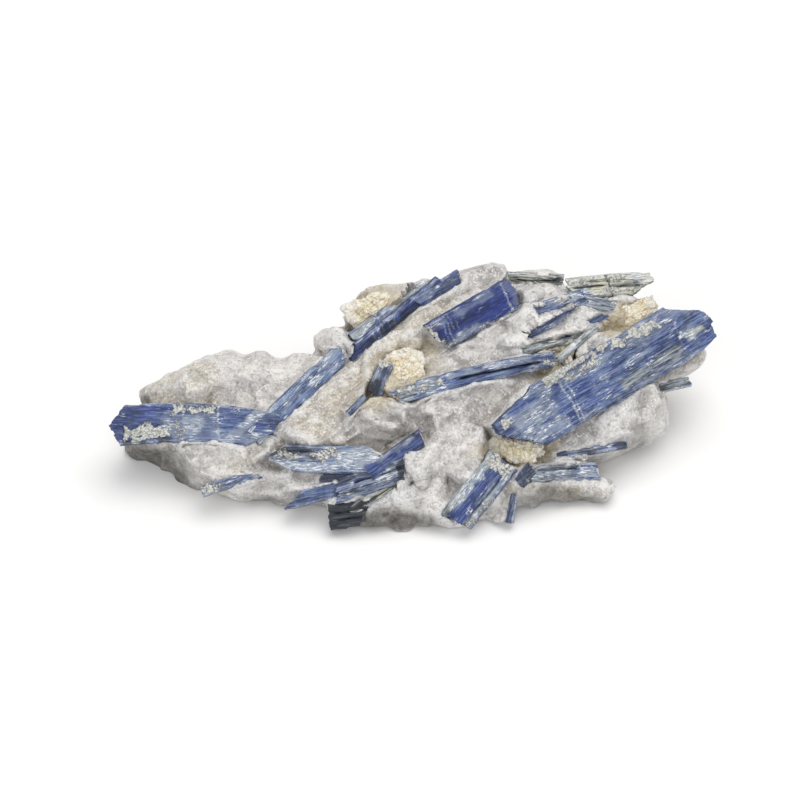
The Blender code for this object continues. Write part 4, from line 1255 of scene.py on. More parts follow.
def kyanite_finish():
    """One finish for every blade: a blue ground, the marks of its grain, and what lies on it."""
    f = Finish("kyanite_blue")
    # Patterns drawn out along the blade, from broad to fine, and the values of the mesh
    grain = f.attribute("grain", "Vector")
    broad = f.noise(grain.stretched(0.11, 0.34, 0.34), 1.0, 3.0)
    streak = f.noise(grain.stretched(0.11, 1.2, 1.2), 1.0, 4.0, 0.62)
    thread = f.noise(grain.stretched(0.22, 2.7, 2.7), 1.0, 3.0, 0.65)
    dashes = f.noise(grain.stretched(0.60, 3.8, 3.8), 1.0, 3.0, 0.65)
    ticks = f.noise(grain.stretched(3.2, 0.6, 0.6), 1.0, 3.0, 0.6)
    grit = f.noise(grain, 2.8, 3.0, 0.7)
    drift = f.noise(grain.stretched(0.22, 0.5, 0.5), 1.0, 2.0)
    haze = f.attribute("haze")
    royal = f.attribute("royal")
    film = f.attribute("film")
    sage = f.attribute("sage")
    shade = f.mix(sage, SLATE, SAGE_DARK)
    light = f.mix(sage, PALE_BLUE, SAGE_PALE)
    # The ground: slate to blue, royal blue where the crystal is deep, grey-green where fibrous
    colour = f.mix((broad * 0.5 + streak * 0.5).over(0.42, 0.58), shade, MIDDLE_BLUE)
    colour = f.mix(royal * broad.over(0.28, 0.52) * 0.9, colour, ROYAL_BLUE)
    fibre = streak * 0.5 + thread * 0.5
    sage_blotch = (sage + 1.4 * fibre - 0.9).over(0.05, 0.45)
    colour = f.mix(sage_blotch, colour, f.mix(fibre.over(0.43, 0.51), SAGE_DARK, SAGE))
    # Cleavage: pale dust, streaks and lines, and dark gaps between them
    dust = f.noise(grain, 0.30, 5.0, 0.7).over(0.44, 0.68)
    colour = f.mix(dust * (0.05 + 0.5 * haze) * (1.0 - 0.8 * royal), colour, FILM)
    pale = (streak * 0.7 + grit * 0.3 + 0.20 * haze).over(0.54, 0.72) * (0.2 + 0.6 * haze)
    colour = f.mix(pale * (1.0 - 0.7 * royal), colour, light)
    lines = (thread + 0.10 * haze).over(0.57, 0.68) * (0.15 + 0.7 * haze)
    colour = f.mix(lines, colour, light)
    gaps = (1.0 - thread.over(0.38, 0.48)) * streak.over(0.38, 0.50)
    colour = f.mix(gaps * 0.9, colour, shade)
    # Thin films of quartz, with flecks and notches strung out along the grain
    colour = f.mix(film * (0.25 + 1.0 * (dust * 0.3 + grit * 0.7)), colour, FILM)
    open_grain = (drift + 0.22 * haze + 0.20 * film).over(0.60, 0.84)
    flecks = (dashes + 0.08 * open_grain).over(0.60, 0.66) * open_grain
    colour = f.mix(flecks * 0.95, colour, FLECK)
    notches = (1.0 - dashes.over(0.33, 0.41)) * (drift + 0.2 * film).over(0.46, 0.62)
    colour = f.mix(notches * 0.8, colour, DEEP)
    cross = ticks.over(0.62, 0.70) * (streak * 0.5 + drift * 0.5).over(0.50, 0.62)
    colour = f.mix(cross * 0.4, colour, FILM)
    # A pale rim along the upper edges, the crumbs of a crust, and painted shade and darker crystal
    # over all of it
    rim = f.attribute("rim") * (thread * 0.5 + drift * 0.5).over(0.44, 0.56)
    colour = f.mix(rim * 0.65, colour, f.mix(grit.over(0.45, 0.6), PALE_BLUE, FLECK))
    crumbs = f.noise(grain, 1.7, 4.0, 0.75)
    crust = (f.attribute("crust") + 1.6 * crumbs - 0.90).over(0.20, 0.42)
    colour = f.mix(crust, colour, f.mix(crumbs.over(0.42, 0.58), CRUST_SHADE, CRUST))
    dark = f.attribute("dark") * (1.0 - 0.8 * crust) * (0.45 + 0.9 * (1.0 - thread))
    colour = f.mix(dark, colour, DEEP)
    relief = streak * 0.5 + thread * 0.4 + grit * 0.3 + crust * crumbs * 1.6
    f.set(Base_Color=colour,
          Roughness=0.30 + 0.25 * thread + 0.35 * crust,
          Normal=f.bump(relief, 0.00030, 0.9),
          Specular_IOR_Level=0.40)
    return f


kyanite = kyanite_finish()
print("kyanite nodes:", len(kyanite.tree.nodes))

# %% [markdown]
# ## Kyanite: the blades go into the scene
#
# Blades that grew as one piece share one mesh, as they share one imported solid. Their arrays
# are laid end to end, and each blade's face numbers are moved along by the points before it.
# The faces are shaded smooth, but an edge sharper than the angle below stays sharp, which
# keeps the steps between strips and the broken ends crisp.

# %% Make the blades
BLADE_SHARP_ANGLE = math.radians(50.0)


def mesh_of(name, points, faces, values):
    """A mesh of points in mm and four-sided faces, smooth, facing out, with its values."""
    mesh = bpy.data.meshes.new(name)
    mesh.from_pydata(points * MM, [], faces.tolist())
    mesh.validate()
    outward(mesh)
    add_values(mesh, values)
    mesh.shade_smooth()
    mesh.set_sharp_from_angle(angle=BLADE_SHARP_ANGLE)
    return mesh


def joined(parts):
    """Several (points, faces, values) as one, with the faces' numbers moved along."""
    starts = np.cumsum([0] + [len(points) for points, _, _ in parts[:-1]])
    points = np.concatenate([points for points, _, _ in parts])
    faces = np.concatenate([faces + start for start, (_, faces, _) in zip(starts, parts)])
    values = {name: np.concatenate([v[name] for _, _, v in parts]) for name in parts[0][2]}
    return points, faces, values


for node, group in BLADES.items():
    parts = [blade_mesh_arrays(node, blade, i) for i, blade in enumerate(group)]
    add_piece(node, mesh_of(node, *joined(parts)), kyanite)
    report(node)

# %% [markdown]
# ## Quartz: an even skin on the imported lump
#
# The quartz is what is left when every blade and crust is taken out of a lump with dozens of
# bumps. No single grid wraps such a shape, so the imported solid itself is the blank: a copy of
# it is remeshed into small even faces. Its points then become an array, and the next cells
# move them: they round the hard edges, fill and wear the lump, fit it to the blades and at
# last break its skin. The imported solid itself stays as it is.

# %% A blank with even faces
QUARTZ_VOXEL = 0.62
MERGE_WITHIN = 1e-6


def blank_mesh(node, voxel):
    """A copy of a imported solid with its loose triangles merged, remeshed to even faces."""
    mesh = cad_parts[node].data.copy()
    bm = bmesh.new()
    bm.from_mesh(mesh)
    bmesh.ops.remove_doubles(bm, verts=bm.verts[:], dist=MERGE_WITHIN)
    bm.to_mesh(mesh)
    bm.free()
    blank = bpy.data.objects.new("blank", mesh)
    bpy.context.scene.collection.objects.link(blank)
    step = blank.modifiers.new("even", "REMESH")
    step.mode = "VOXEL"
    step.voxel_size = voxel * MM
    graph = bpy.context.evaluated_depsgraph_get()
    even = bpy.data.meshes.new_from_object(blank.evaluated_get(graph))
    bpy.data.objects.remove(blank)
    return even


def points_of(mesh):
    """The mesh's points in mm, and its edges as pairs of point numbers."""
    points = np.zeros(len(mesh.vertices) * 3)
    mesh.vertices.foreach_get("co", points)
    edges = np.zeros(len(mesh.edges) * 2, np.int64)
    mesh.edges.foreach_get("vertices", edges)
    return points.reshape(-1, 3) / MM, edges.reshape(-1, 2)


quartz_mesh = blank_mesh("quartz_matrix", QUARTZ_VOXEL)
print("quartz blank:", len(quartz_mesh.polygons), "faces")

# %% [markdown]
# ## Rounding a skin
#
# A shape is rounded by moving each point part of the way to the average of its neighbours. A
# few rounds take off the hard edges. A hundred leave only the large form, and comparing the
# skin with that form tells which points lie in a hollow and which on a lump.

# %% Rounding, normals and hollows
def neighbour_average(values, edges):
    """For each point, the sum of its neighbours' values over their number."""
    count = np.bincount(edges.ravel(), minlength=len(values))
    columns = []
    for column in values.reshape(len(values), -1).T:
        total = np.bincount(edges[:, 0], column[edges[:, 1]], len(values))
        total += np.bincount(edges[:, 1], column[edges[:, 0]], len(values))
        columns.append(total / np.maximum(count, 1))
    return np.stack(columns, axis=1).reshape(values.shape)


def rounded(points, edges, rounds, pull=0.6):
    """Points moved towards their neighbours' average, a share of the way, several times."""
    for _ in range(rounds):
        points = points + pull * (neighbour_average(points, edges) - points)
    return points


def normals_of(mesh, points):
    """Sets the mesh's points and gives its normals there."""
    mesh.vertices.foreach_set("co", (points * MM).ravel())
    mesh.update()
    normals = np.zeros(len(points) * 3)
    mesh.vertex_normals.foreach_get("vector", normals)
    return normals.reshape(-1, 3)


def hollow_depth(points, edges, normals, rounds, pull):
    """How deep each point lies in a hollow, in mm, and below 0 on a lump: the way from it to
    the same skin after that many rounds, measured along its normal."""
    return ((rounded(points, edges, rounds, pull) - points) * normals).sum(axis=1)


ROW = np.array([[0.0], [3.0], [0.0]])
print("heights 0, 3, 0 rounded once:", rounded(ROW, np.array([[0, 1], [1, 2]]), 1).ravel().round(2))

# %% [markdown]
# ## Quartz: stained, clear and dark places
#
# The quartz is not one white. Where the stone has been open to water, iron has stained it
# cream. Where it holds few cracks it is clear, and looks grey. Deep nooks, undersides, walls
# and a low lip are painted nearly black: mostly painted shade, and in places darker stone.
# Round the crusts it is crumbly with mica. Such places could be painted by hand. Here they
# are listed as ellipses on the display face: the centre's u and v, half the length and half
# the width, a turn in degrees and a strength. Noise moves their edges.

# %% Stained, clear and dark zones
Zone = namedtuple("Zone", "u v long wide turn strength")
STAINS = (
    Zone(-59, 35, 15, 8, 25, 0.85), Zone(-9, 43, 29, 6.5, 44, 0.95), Zone(-24, 26, 9, 4, 40, 0.6),
    Zone(56, 55, 9, 4, 15, 1.0), Zone(66, 43.5, 8, 4.5, 35, 0.8), Zone(-45, 15, 8, 3, 50, 0.8),
    Zone(36, 10.5, 13, 3.5, -5, 0.7), Zone(-36, 22, 6, 3, 0, 0.4), Zone(24, 22, 9, 3, 10, 0.6),
    Zone(40, 44, 6, 3, 35, 0.5), Zone(22, 40, 14, 1.6, 14, 0.5), Zone(-64, 34, 5, 2.6, 20, 1.0),
)
CLEARS = (
    Zone(-12, 31, 9, 4, 15, 0.8), Zone(38, 21, 12, 3.5, 15, 0.8), Zone(-20, 26, 10, 4, 10, 0.5),
    Zone(8, 54, 8, 5, 30, 0.3), Zone(20, 65, 6, 3, 0, 1.0), Zone(-62, 20, 10, 6, -24, 0.6),
    Zone(2, 34, 8, 3, 10, 0.3), Zone(8, 27, 10, 7, 30, 0.3), Zone(38, 10, 13, 5, -5, 0.5),
)
# Dark zones: mostly painted shade on undersides, walls, a low lip and nooks, and a little darker stone
SHADE_AND_DARK_ZONES = (
    Zone(-63, 15.5, 14, 6, -38, 0.9), Zone(-6, 2.6, 12, 3.6, 0, 1.0), Zone(37, 8.0, 13, 4, -8, 0.8),
    Zone(-67.4, 32.4, 2.4, 2.2, 0, 1.0), Zone(-34, 7, 9, 2, -15, 0.6), Zone(56, 24, 5, 3, 60, 0.4),
    Zone(-15, 54, 2.0, 3.0, 0, 0.8), Zone(-3, 46, 9, 1.0, 44, 0.25), Zone(25, 5, 5, 3, -60, 0.4),
)
MICA_ZONES = (
    Zone(-3.2, 39.6, 12, 7, 45, 1.0), Zone(-20.5, 19.0, 8, 4.5, 12, 0.9),
    Zone(26.5, 21.0, 11, 4.5, 8, 1.0), Zone(-9.9, 56.0, 9, 6, 25, 1.0),
    Zone(55.0, 54.6, 10, 4, 24, 1.0), Zone(36.0, 43.6, 8, 4.5, 35, 0.9),
)
ZONE_WANDER = 5.0
ZONE_ROUGHNESS = 0.45
ZONE_EDGE = (0.55, 1.25)


def zone_mask(zones, points, seed):
    """How far each point lies in any of the zones: 1 at its centre, falling to 0 past its
    ellipse, whose edge is moved by noise."""
    u, v, _ = on_display(points)
    rough = layered_noise(points, ZONE_WANDER, seed)
    mask = np.zeros(len(points))
    for zone in zones:
        turn = math.radians(zone.turn)
        along = (u - zone.u) * math.cos(turn) + (v - zone.v) * math.sin(turn)
        across = (v - zone.v) * math.cos(turn) - (u - zone.u) * math.sin(turn)
        reach = np.hypot(along / zone.long, across / zone.wide) + ZONE_ROUGHNESS * rough
        mask = np.maximum(mask, zone.strength * (1.0 - ramp(reach, *ZONE_EDGE)))
    return mask


print("stained, clear and dark zones:", len(STAINS), len(CLEARS), len(SHADE_AND_DARK_ZONES))

# %% [markdown]
# ## Quartz: banks and beds at the blades
#
# The quartz grew round the blades. It lies under each one as a bed, slopes down from its
# sides as a bank, and here and there has grown over its edge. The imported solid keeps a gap
# round every blade instead, so its skin has to be fitted. For each blade in turn, every point
# is seen square on to the broad face: how far past its outline it is, and how high over the
# face. Points beside the blade are raised to the bank and points below it to the bed, and
# any that come out over it are pushed back under.

# %% Banks and beds
ALL_BLADES = [blade for group in BLADES.values() for blade in group]
BANK_BELOW = 0.10
BANK_SLOPE = 0.42
BANK_WANDER = 2.2
BANK_ROUGHNESS = 0.8
BANK_REACH = (-6.0, -3.5)
BED_SHARE = 0.7
BED_REACH = (-16.0, -11.0)
FACING_OUT = (0.1, 0.5)
OVERGROWTH = 2.2
OVERGROWTH_WANDER = 3.0
MOST_OVER = 0.28
UNDER_BLADE = 0.45
UNDER_FADE = 0.5


def beside_blade(blade, points):
    """For each point, how far it is past the blade's outline, seen square on to its broad
    face and negative inside it, its height over that face, and the blade's outward axis."""
    start, axes = blade_axes(blade)
    x, y, z = ((points - start) @ axes.T).T
    length = np.linalg.norm(display(*blade.end) - start)
    y = y - bend_of(blade, x, length)
    share = np.clip(y / blade.width, -0.5, 0.5)
    first = np.interp(share, *np.array(blade.start_cut).T)
    last = length - np.interp(share, *np.array(blade.end_cut).T)
    past_end = np.maximum(first - x, x - last)
    past_side = np.abs(y) - blade.width / 2.0
    outside = np.hypot(np.maximum(past_end, 0.0), np.maximum(past_side, 0.0))
    past = np.where(outside > 0.0, outside, np.maximum(past_end, past_side))
    return past, z - blade.thick / 2.0, axes[2]


def overgrown(points):
    """How far over a blade's edge the quartz reaches at each place, in mm, by noise."""
    return OVERGROWTH * np.maximum(0.0, layered_noise(points, OVERGROWTH_WANDER, 91))


def banked(points, normals):
    """Points raised along each blade's outward axis, so that the quartz beside it slopes down
    from its upper edge, and the quartz under it reaches up into it, as a bed. Only skin that
    faces out moves, and only where it lies within the reach below the blade's face."""
    bank_noise = layered_noise(points, BANK_WANDER, 88)
    reach = overgrown(points)
    for blade in ALL_BLADES:
        past, height, out = beside_blade(blade, points)
        over_edge = past > -np.minimum(reach, MOST_OVER * blade.width)
        bank = -BANK_BELOW - BANK_SLOPE * past * (1.0 + BANK_ROUGHNESS * bank_noise)
        wanted = np.where(over_edge, bank, -BED_SHARE * blade.thick)
        near = np.where(over_edge, ramp(height, *BANK_REACH), ramp(height, *BED_REACH))
        weight = near * ramp(normals @ out, *FACING_OUT)
        points = points + (weight * np.maximum(wanted - height, 0.0))[:, None] * out
    return points


def kept_under(points):
    """Points inside a blade's outline are pushed back under its face, past its lowest strip,
    except where the quartz has grown over its edge."""
    reach = overgrown(points)
    for blade in ALL_BLADES:
        past, height, out = beside_blade(blade, points)
        most = -LOW_STRIP * blade.thick - UNDER_BLADE
        inside = ramp(-past - np.minimum(reach, MOST_OVER * blade.width), 0.0, UNDER_FADE)
        points = points + (inside * np.minimum(most - height, 0.0))[:, None] * out
    return points


def from_blades(points):
    """The distance from each point to the nearest blade, in mm."""
    nearest = np.full(len(points), np.inf)
    for blade in ALL_BLADES:
        past, height, _ = beside_blade(blade, points)
        over = np.maximum(np.maximum(height, -height - blade.thick), 0.0)
        nearest = np.minimum(nearest, np.hypot(np.maximum(past, 0.0), over))
    return nearest


print("blades that the quartz is fitted to:", len(ALL_BLADES))

# %% [markdown]
# ## Quartz: fills, wear, steps and a lip
#
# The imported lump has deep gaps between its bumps, but the real stone is one solid mass with
# a low, uneven face. So hollows are filled towards the stone's large form, and lumps on the
# display face are worn down towards it. Two things that rounding can't give are then put
# back: steps where a slab broke away along a line, and a lip, where a ledge hangs a little
# way down over what is below it.

# %% Fills, wear, steps and a lip
FILL_ROUNDS = (200, 80, 30)
FILL_SHARE = 0.9
WEAR_ROUNDS = 130
WEAR_SHARE = 0.85
WEAR_FACING = (0.10, 0.60)
STRONG_PULL = 0.8
Scarp = namedtuple("Scarp", "u0 v0 u1 v1 width reach drop")
SCARPS = (
    Scarp(-59.0, 22.5, -51.5, 9.5, 5.0, 12, 3.2), Scarp(1.0, 19.0, 13.5, 13.5, 1.6, 6, 1.5),
    Scarp(-38.0, 32.0, -44.0, 45.0, 3.0, 7, 1.2), Scarp(-14.0, 21.5, 3.0, 30.5, 1.5, 6, 1.0),
    Scarp(36.0, 15.5, 56.0, 24.0, 2.0, 6, 1.6),
)
SCARP_WANDER = 3.0
SCARP_ROUGHNESS = 0.5
SCARP_ENDS = (-2.0, 1.0)
SCARP_FADE = 1.6
LIPS = (Zone(50, 25.5, 13, 6, 20, 1.0),)
LIP_DROP = 3.2


def filled(points, edges, normals, rounds):
    """Points in hollows moved out along their normals, towards a much smoother skin. What
    stands proud of that skin stays."""
    depth = hollow_depth(points, edges, normals, rounds, STRONG_PULL)
    return points + (FILL_SHARE * np.maximum(depth, 0.0))[:, None] * normals


def worn(points, edges, normals):
    """Lumps on the display face worn down, straight into the face, towards a much smoother
    skin. Points at the stone's outline, which face sideways, stay."""
    drop = (rounded(points, edges, WEAR_ROUNDS, STRONG_PULL) - points) @ W_AXIS
    weight = WEAR_SHARE * ramp(normals @ W_AXIS, *WEAR_FACING)
    return points + (weight * np.minimum(drop, 0.0))[:, None] * W_AXIS


def scarped(points):
    """Points on the low side of each scarp pushed into the display face: the further from the
    scarp's line the deeper, up to its drop, and less towards the two ends of the line."""
    u, v, _ = on_display(points)
    for scarp in SCARPS:
        run = np.array((scarp.u1 - scarp.u0, scarp.v1 - scarp.v0))
        length = np.hypot(*run)
        along = ((u - scarp.u0) * run[0] + (v - scarp.v0) * run[1]) / length
        right = ((u - scarp.u0) * run[1] - (v - scarp.v0) * run[0]) / length
        right = right + SCARP_ROUGHNESS * layered_noise(points, SCARP_WANDER, 97)
        ends = ramp(np.minimum(along, length - along), *SCARP_ENDS)
        fade = 1.0 - ramp(right, scarp.reach, SCARP_FADE * scarp.reach)
        fall = np.clip(right / scarp.width, 0.0, 1.0) * fade
        points = points - (scarp.drop * ends * fall)[:, None] * W_AXIS
    return points


print("steps and lips:", len(SCARPS), len(LIPS))

# %% [markdown]
# ## Quartz: breaks of three sizes
#
# Quartz has no cleavage, so it doesn't split flat. It breaks like glass, in shallow bowls that
# meet in sharp ridges, and small breaks cross the large ones. So the relief is scallops of
# three sizes on a soft swell. It is lower beside the blades, which it would hide, and crumbs
# are added round the crusts. The skin grows a little too, most of all beside the blades: in
# the real stone, quartz touches them all round.

# %% Breaks
Break = namedtuple("Break", "height size seed bowl")
BREAKS = (Break(2.2, 9.0, 7, 0.45), Break(0.95, 4.2, 13, 0.5), Break(0.34, 1.7, 19, 0.8))
BREAK_SLOPE = 1.2
SWELL = 0.20
SWELL_SIZE = 7.0
NEAR_BLADE = (0.3, 1.4)
SHARE_AT_BLADE = 0.4
CRUMB_HEIGHT = 0.3
CRUMB_SIZE = 1.1
QUARTZ_GROWTH = 0.34


def quartz_relief(points):
    """A soft swell, plus each size of break: its height times its scallops, in mm."""
    relief = SWELL * layered_noise(points, SWELL_SIZE, 3)
    for part in BREAKS:
        relief += part.height * scallops(points, part.size, part.seed, BREAK_SLOPE, part.bowl)
    return relief


def broken(points, normals, away, crumbs):
    """The skin moved along its normals: by its growth, half as much away from the blades, plus
    its relief, less beside them, plus crumbs."""
    open_skin = ramp(away, *NEAR_BLADE)
    relief = quartz_relief(points) * (SHARE_AT_BLADE + (1.0 - SHARE_AT_BLADE) * open_skin)
    relief += CRUMB_HEIGHT * crumbs * facets(points, CRUMB_SIZE, 23)
    growth = QUARTZ_GROWTH * (1.0 - 0.5 * open_skin)
    return points + normals * (growth + relief)[:, None]


print("heights of the breaks in mm:", [part.height for part in BREAKS])

# %% [markdown]
# ## Quartz: all of it, in order
#
# The order matters. Fills and wear make the large form. The lip and the steps change it, so
# the quartz is fitted to the blades after them. The breaks come last, so that nothing rounds
# their ridges off again. The underside stays flat, on the floor's level. The finish is told
# of the zones, of the hollows and of how far away the nearest blade is.

# %% Dress the quartz
EASE_ROUNDS = 3
FIT_ROUNDS = 2
HOLLOW_ROUNDS = 12
SOFT_PULL = 0.7
QUARTZ_SHARP_ANGLE = math.radians(38.0)


def eased(mesh, points, edges):
    """The blank's points rounded, filled three times, worn, rounded and filled once more."""
    points = rounded(points, edges, EASE_ROUNDS)
    for rounds in FILL_ROUNDS:
        points = filled(points, edges, normals_of(mesh, points), rounds)
    points = rounded(worn(points, edges, normals_of(mesh, points)), edges, EASE_ROUNDS)
    return filled(points, edges, normals_of(mesh, points), FILL_ROUNDS[-1])


def fitted(mesh, points, edges):
    """The points with the lip and the steps, then fitted to the blades."""
    points = points - LIP_DROP * zone_mask(LIPS, points, 65)[:, None] * V_AXIS
    points = kept_under(scarped(points))
    points = banked(points, normals_of(mesh, points))
    return kept_under(rounded(points, edges, FIT_ROUNDS))


def dress_quartz(mesh):
    """Gives the blank its skin and the values that the finish reads."""
    blank, edges = points_of(mesh)
    points = fitted(mesh, eased(mesh, blank, edges), edges)
    away = from_blades(points)
    crumbs = zone_mask(MICA_ZONES, points, 64)
    points = kept_under(broken(points, normals_of(mesh, points), away, crumbs))
    points[:, 2] = np.maximum(points[:, 2], 0.0)
    hollow = hollow_depth(points, edges, normals_of(mesh, points), HOLLOW_ROUNDS, SOFT_PULL)
    add_values(mesh, {
        "stain": zone_mask(STAINS, points, 61), "clear": zone_mask(CLEARS, points, 62),
        "dark": zone_mask(SHADE_AND_DARK_ZONES, points, 63), "hollow": hollow, "away": away,
        "crumbs": crumbs})
    mesh.shade_smooth()
    mesh.set_sharp_from_angle(angle=QUARTZ_SHARP_ANGLE)
    print("hollow in mm, 5 and 95 percent:", np.percentile(hollow, (5, 95)).round(2))


dress_quartz(quartz_mesh)

# %% [markdown]
# ## Quartz: the finish
#
# Milky quartz is white because it is full of tiny cracks, and a broken surface glints like
# sugar: each grain sends light its own way. The glints are made by giving every cell of a
# fine cell pattern its own small tilt, added to the surface normal, and a few grains are
# painted white as painted glints. A little light is let under the surface, which softens the
# shade in the hollows. Hollows are painted darker, as painted shade, and ridges whiter, as
# painted light. Hollows are also stained rusty.

# %% Quartz finish
MILK = rgb(0.790, 0.760, 0.722)
LILAC_GREY = rgb(0.560, 0.530, 0.518)
CLEAR_GREY = rgb(0.330, 0.312, 0.296)
CREAM = rgb(0.600, 0.530, 0.390)
OCHRE = rgb(0.340, 0.240, 0.120)
QUARTZ_SHADE_DARK = rgb(0.090, 0.082, 0.068)
FROST = rgb(0.860, 0.850, 0.840)
BLUE_VEIL = rgb(0.330, 0.380, 0.480)
CRUMB_CREAM = rgb(0.640, 0.590, 0.460)
CRUMB_GOLD = rgb(0.470, 0.370, 0.200)
STRAND_TURN = (math.radians(-45.0), 0.0, math.radians(-35.0))


def tilted(normal, cells, amount):
    """The normal, tipped by each cell's own colour taken as a direction."""
    tip = cells.vector("SUBTRACT", (0.5, 0.5, 0.5)).stretched(amount, amount, amount)
    return normal.vector("ADD", tip).vector("NORMALIZE")


def quartz_finish():
    """Milky white, then clear, stained and dark zones, and breaks that glint."""
    f = Finish("quartz_milk")
    # The ground: clouds of milk and lilac grey, with clear places
    at = f.place()
    cloud = f.noise(at, 0.13, 4.0, 0.6)
    patch = f.noise(at, 0.45, 3.0, 0.6)
    sugar = f.noise(at, 2.2, 4.0, 0.7)
    hollow = f.attribute("hollow")
    colour = f.mix(cloud.over(0.38, 0.62), LILAC_GREY, MILK)
    colour = f.mix(f.attribute("clear") * patch.over(0.3, 0.6), colour, CLEAR_GREY)
    # Iron: cream with pale and grey strands, rusty in the hollows, and blue by the blades
    stain = f.attribute("stain") + 0.12 * cloud
    colour = f.mix(stain.over(0.1, 0.8) * (0.45 + 0.6 * patch), colour, CREAM)
    strands = f.noise(at.turned(STRAND_TURN).stretched(0.12, 1.1, 1.1), 1.0, 4.0, 0.65)
    colour = f.mix(stain * strands.over(0.48, 0.60) * 0.60, colour, FROST)
    colour = f.mix(stain * (1.0 - strands.over(0.38, 0.48)) * 0.50, colour, CLEAR_GREY)
    rust = (stain * 0.6 + 0.5 * patch + 0.7 * hollow).over(0.72, 1.2)
    colour = f.mix(rust * 0.35, colour, OCHRE)
    veil = (1.0 - f.attribute("away").over(0.4, 2.6)) * patch.over(0.42, 0.66)
    colour = f.mix(veil * 0.5, colour, BLUE_VEIL)
    # The broken skin: frost, whiter on ridges as painted light, specks, seams between plates,
    # and each plate and grain its own tone; then painted shade in hollows and painted glints
    frost_and_painted_light = (sugar - 0.7 * hollow).over(0.50, 0.66)
    colour = f.mix(frost_and_painted_light * 0.6, colour, FROST)
    specks = f.noise(at, 2.3, 3.0, 0.7)
    colour = f.mix(specks.over(0.56, 0.64) * patch.over(0.38, 0.6) * 0.55, colour, CLEAR_GREY)
    bent = at.vector("ADD", f.noise(at, 0.5, 2.0, 0.5, "Color"))
    seams = 1.0 - f.cells(bent, 0.26, "DISTANCE_TO_EDGE").over(0.0, 0.05)
    colour = f.mix(seams * patch.over(0.42, 0.60) * 0.5, colour, CLEAR_GREY)
    plates = f.cells(bent, 0.26, output="Color")
    grains = f.cells(at, 1.7, output="Color")
    colour = f.mix(f.red(plates).over(0.5, 0.9) * 0.22, colour, LILAC_GREY)
    colour = f.mix(f.red(grains).over(0.55, 1.0) * 0.45, colour, CLEAR_GREY)
    # Painted shade: the hollows darker
    colour = f.mix(hollow.over(0.10, 0.55) * 0.35, colour, CLEAR_GREY)
    # Painted glints: a few grains painted white
    painted_glint = f.red(f.cells(at, 2.6, output="Color")).over(0.78, 0.84)
    colour = f.mix(painted_glint * patch.over(0.34, 0.52) * 0.75, colour, FROST)
    # Crumbs of mica round the crusts, and the dark zones: mostly painted shade on undersides, walls
    # and nooks
    crumbs = f.attribute("crumbs") * (0.6 * sugar + 0.4 * patch).over(0.34, 0.52)
    colour = f.mix(crumbs * 0.85, colour, f.mix(sugar.over(0.42, 0.6), CRUMB_GOLD, CRUMB_CREAM))
    colour = f.mix(f.attribute("dark") * (0.5 + 0.7 * patch), colour, QUARTZ_SHADE_DARK)
    normal = f.bump(sugar * 0.8 + patch * 0.5, 0.00050, 0.8)
    f.set(Base_Color=colour,
          Roughness=0.18 + 0.45 * sugar,
          Normal=tilted(tilted(normal, plates, 0.8), grains, 0.50),
          Subsurface_Weight=0.15,
          Subsurface_Radius=(1.0, 0.95, 0.9),
          Subsurface_Scale=0.0015,
          Specular_IOR_Level=0.5)
    return f


quartz = quartz_finish()
add_piece("quartz_matrix", quartz_mesh, quartz)
report("quartz_matrix")

# %% [markdown]
# ## Mica crusts
#
# Fine mica grew in the gaps as crusts of flakes, cream to golden. Each one starts as the packed
# mound, remeshed as the quartz was. Its top is flattened and its outline made ragged. A crust
# has no clear end, but thins out over the quartz, so its rim is sloped down. Then it gets a
# coarse skin of grains.

# %% The skin of a crust
MICA_VOXEL = 0.32
MICA_ROUNDS = 4
MICA_LEVEL = 40
MICA_FLATNESS = 0.25
MICA_RAGGED = 0.5
MICA_WANDER = 4.0
MICA_DOME = 2.2
MICA_GROWTH = 0.34


def mica_relief(points):
    """Grains of two sizes on a soft swell, in mm."""
    return (0.45 * layered_noise(points, 3.4, 71) + 0.34 * facets(points, 1.6, 73)
            + 0.20 * facets(points, 0.7, 79))


def from_middle(points, middle):
    """Each point's offset from the middle, laid flat on the display face, and the length of
    that offset over the longest one."""
    offset = points - middle
    offset = offset - (offset @ W_AXIS)[:, None] * W_AXIS
    away = np.linalg.norm(offset, axis=1)
    return offset, away / away.max()


def mica_skin(node, seed):
    """The blank of a crust, its points and its edges. What stands above the usual height keeps
    a share of it, offsets from the middle are stretched by noise, the rim sinks by the square
    of how far out it is, and the skin moves out by its growth and its relief."""
    blank = blank_mesh(node, MICA_VOXEL)
    points, edges = points_of(blank)
    points = rounded(points, edges, MICA_ROUNDS)
    height = points @ W_AXIS
    proud = np.maximum(height - np.percentile(height, MICA_LEVEL), 0.0)
    points = points - ((1.0 - MICA_FLATNESS) * proud)[:, None] * W_AXIS
    offset, away = from_middle(points, points.mean(axis=0))
    points = points + (MICA_RAGGED * layered_noise(points, MICA_WANDER, seed))[:, None] * offset
    points = points - (MICA_DOME * away ** 2)[:, None] * W_AXIS
    points = points + normals_of(blank, points) * (MICA_GROWTH + mica_relief(points))[:, None]
    return blank, points, edges


print("a crust's rim sinks by, in mm:", MICA_DOME)

# %% [markdown]
# ## Mica: flakes
#
# Mica splits into thin six-sided plates, and hundreds of small ones stand out of a crust at
# all angles, so that there is always one that glints. Each could be an object of its own, but
# then a crust would be hundreds of pieces. So they are part of the crust's mesh. A flake is
# two hexagons and a rim and has only twelve points, and all the flakes of a crust are worked
# out in one array.

# %% Flakes
FLAKES = 260
FLAKE_RADIUS = (0.2, 0.55)
FLAKE_SQUASH = (0.6, 1.0)
FLAKE_THICKNESS = (0.07, 0.15)
FLAKE_LEAN = 1.1
FLAKE_SIDES = 6


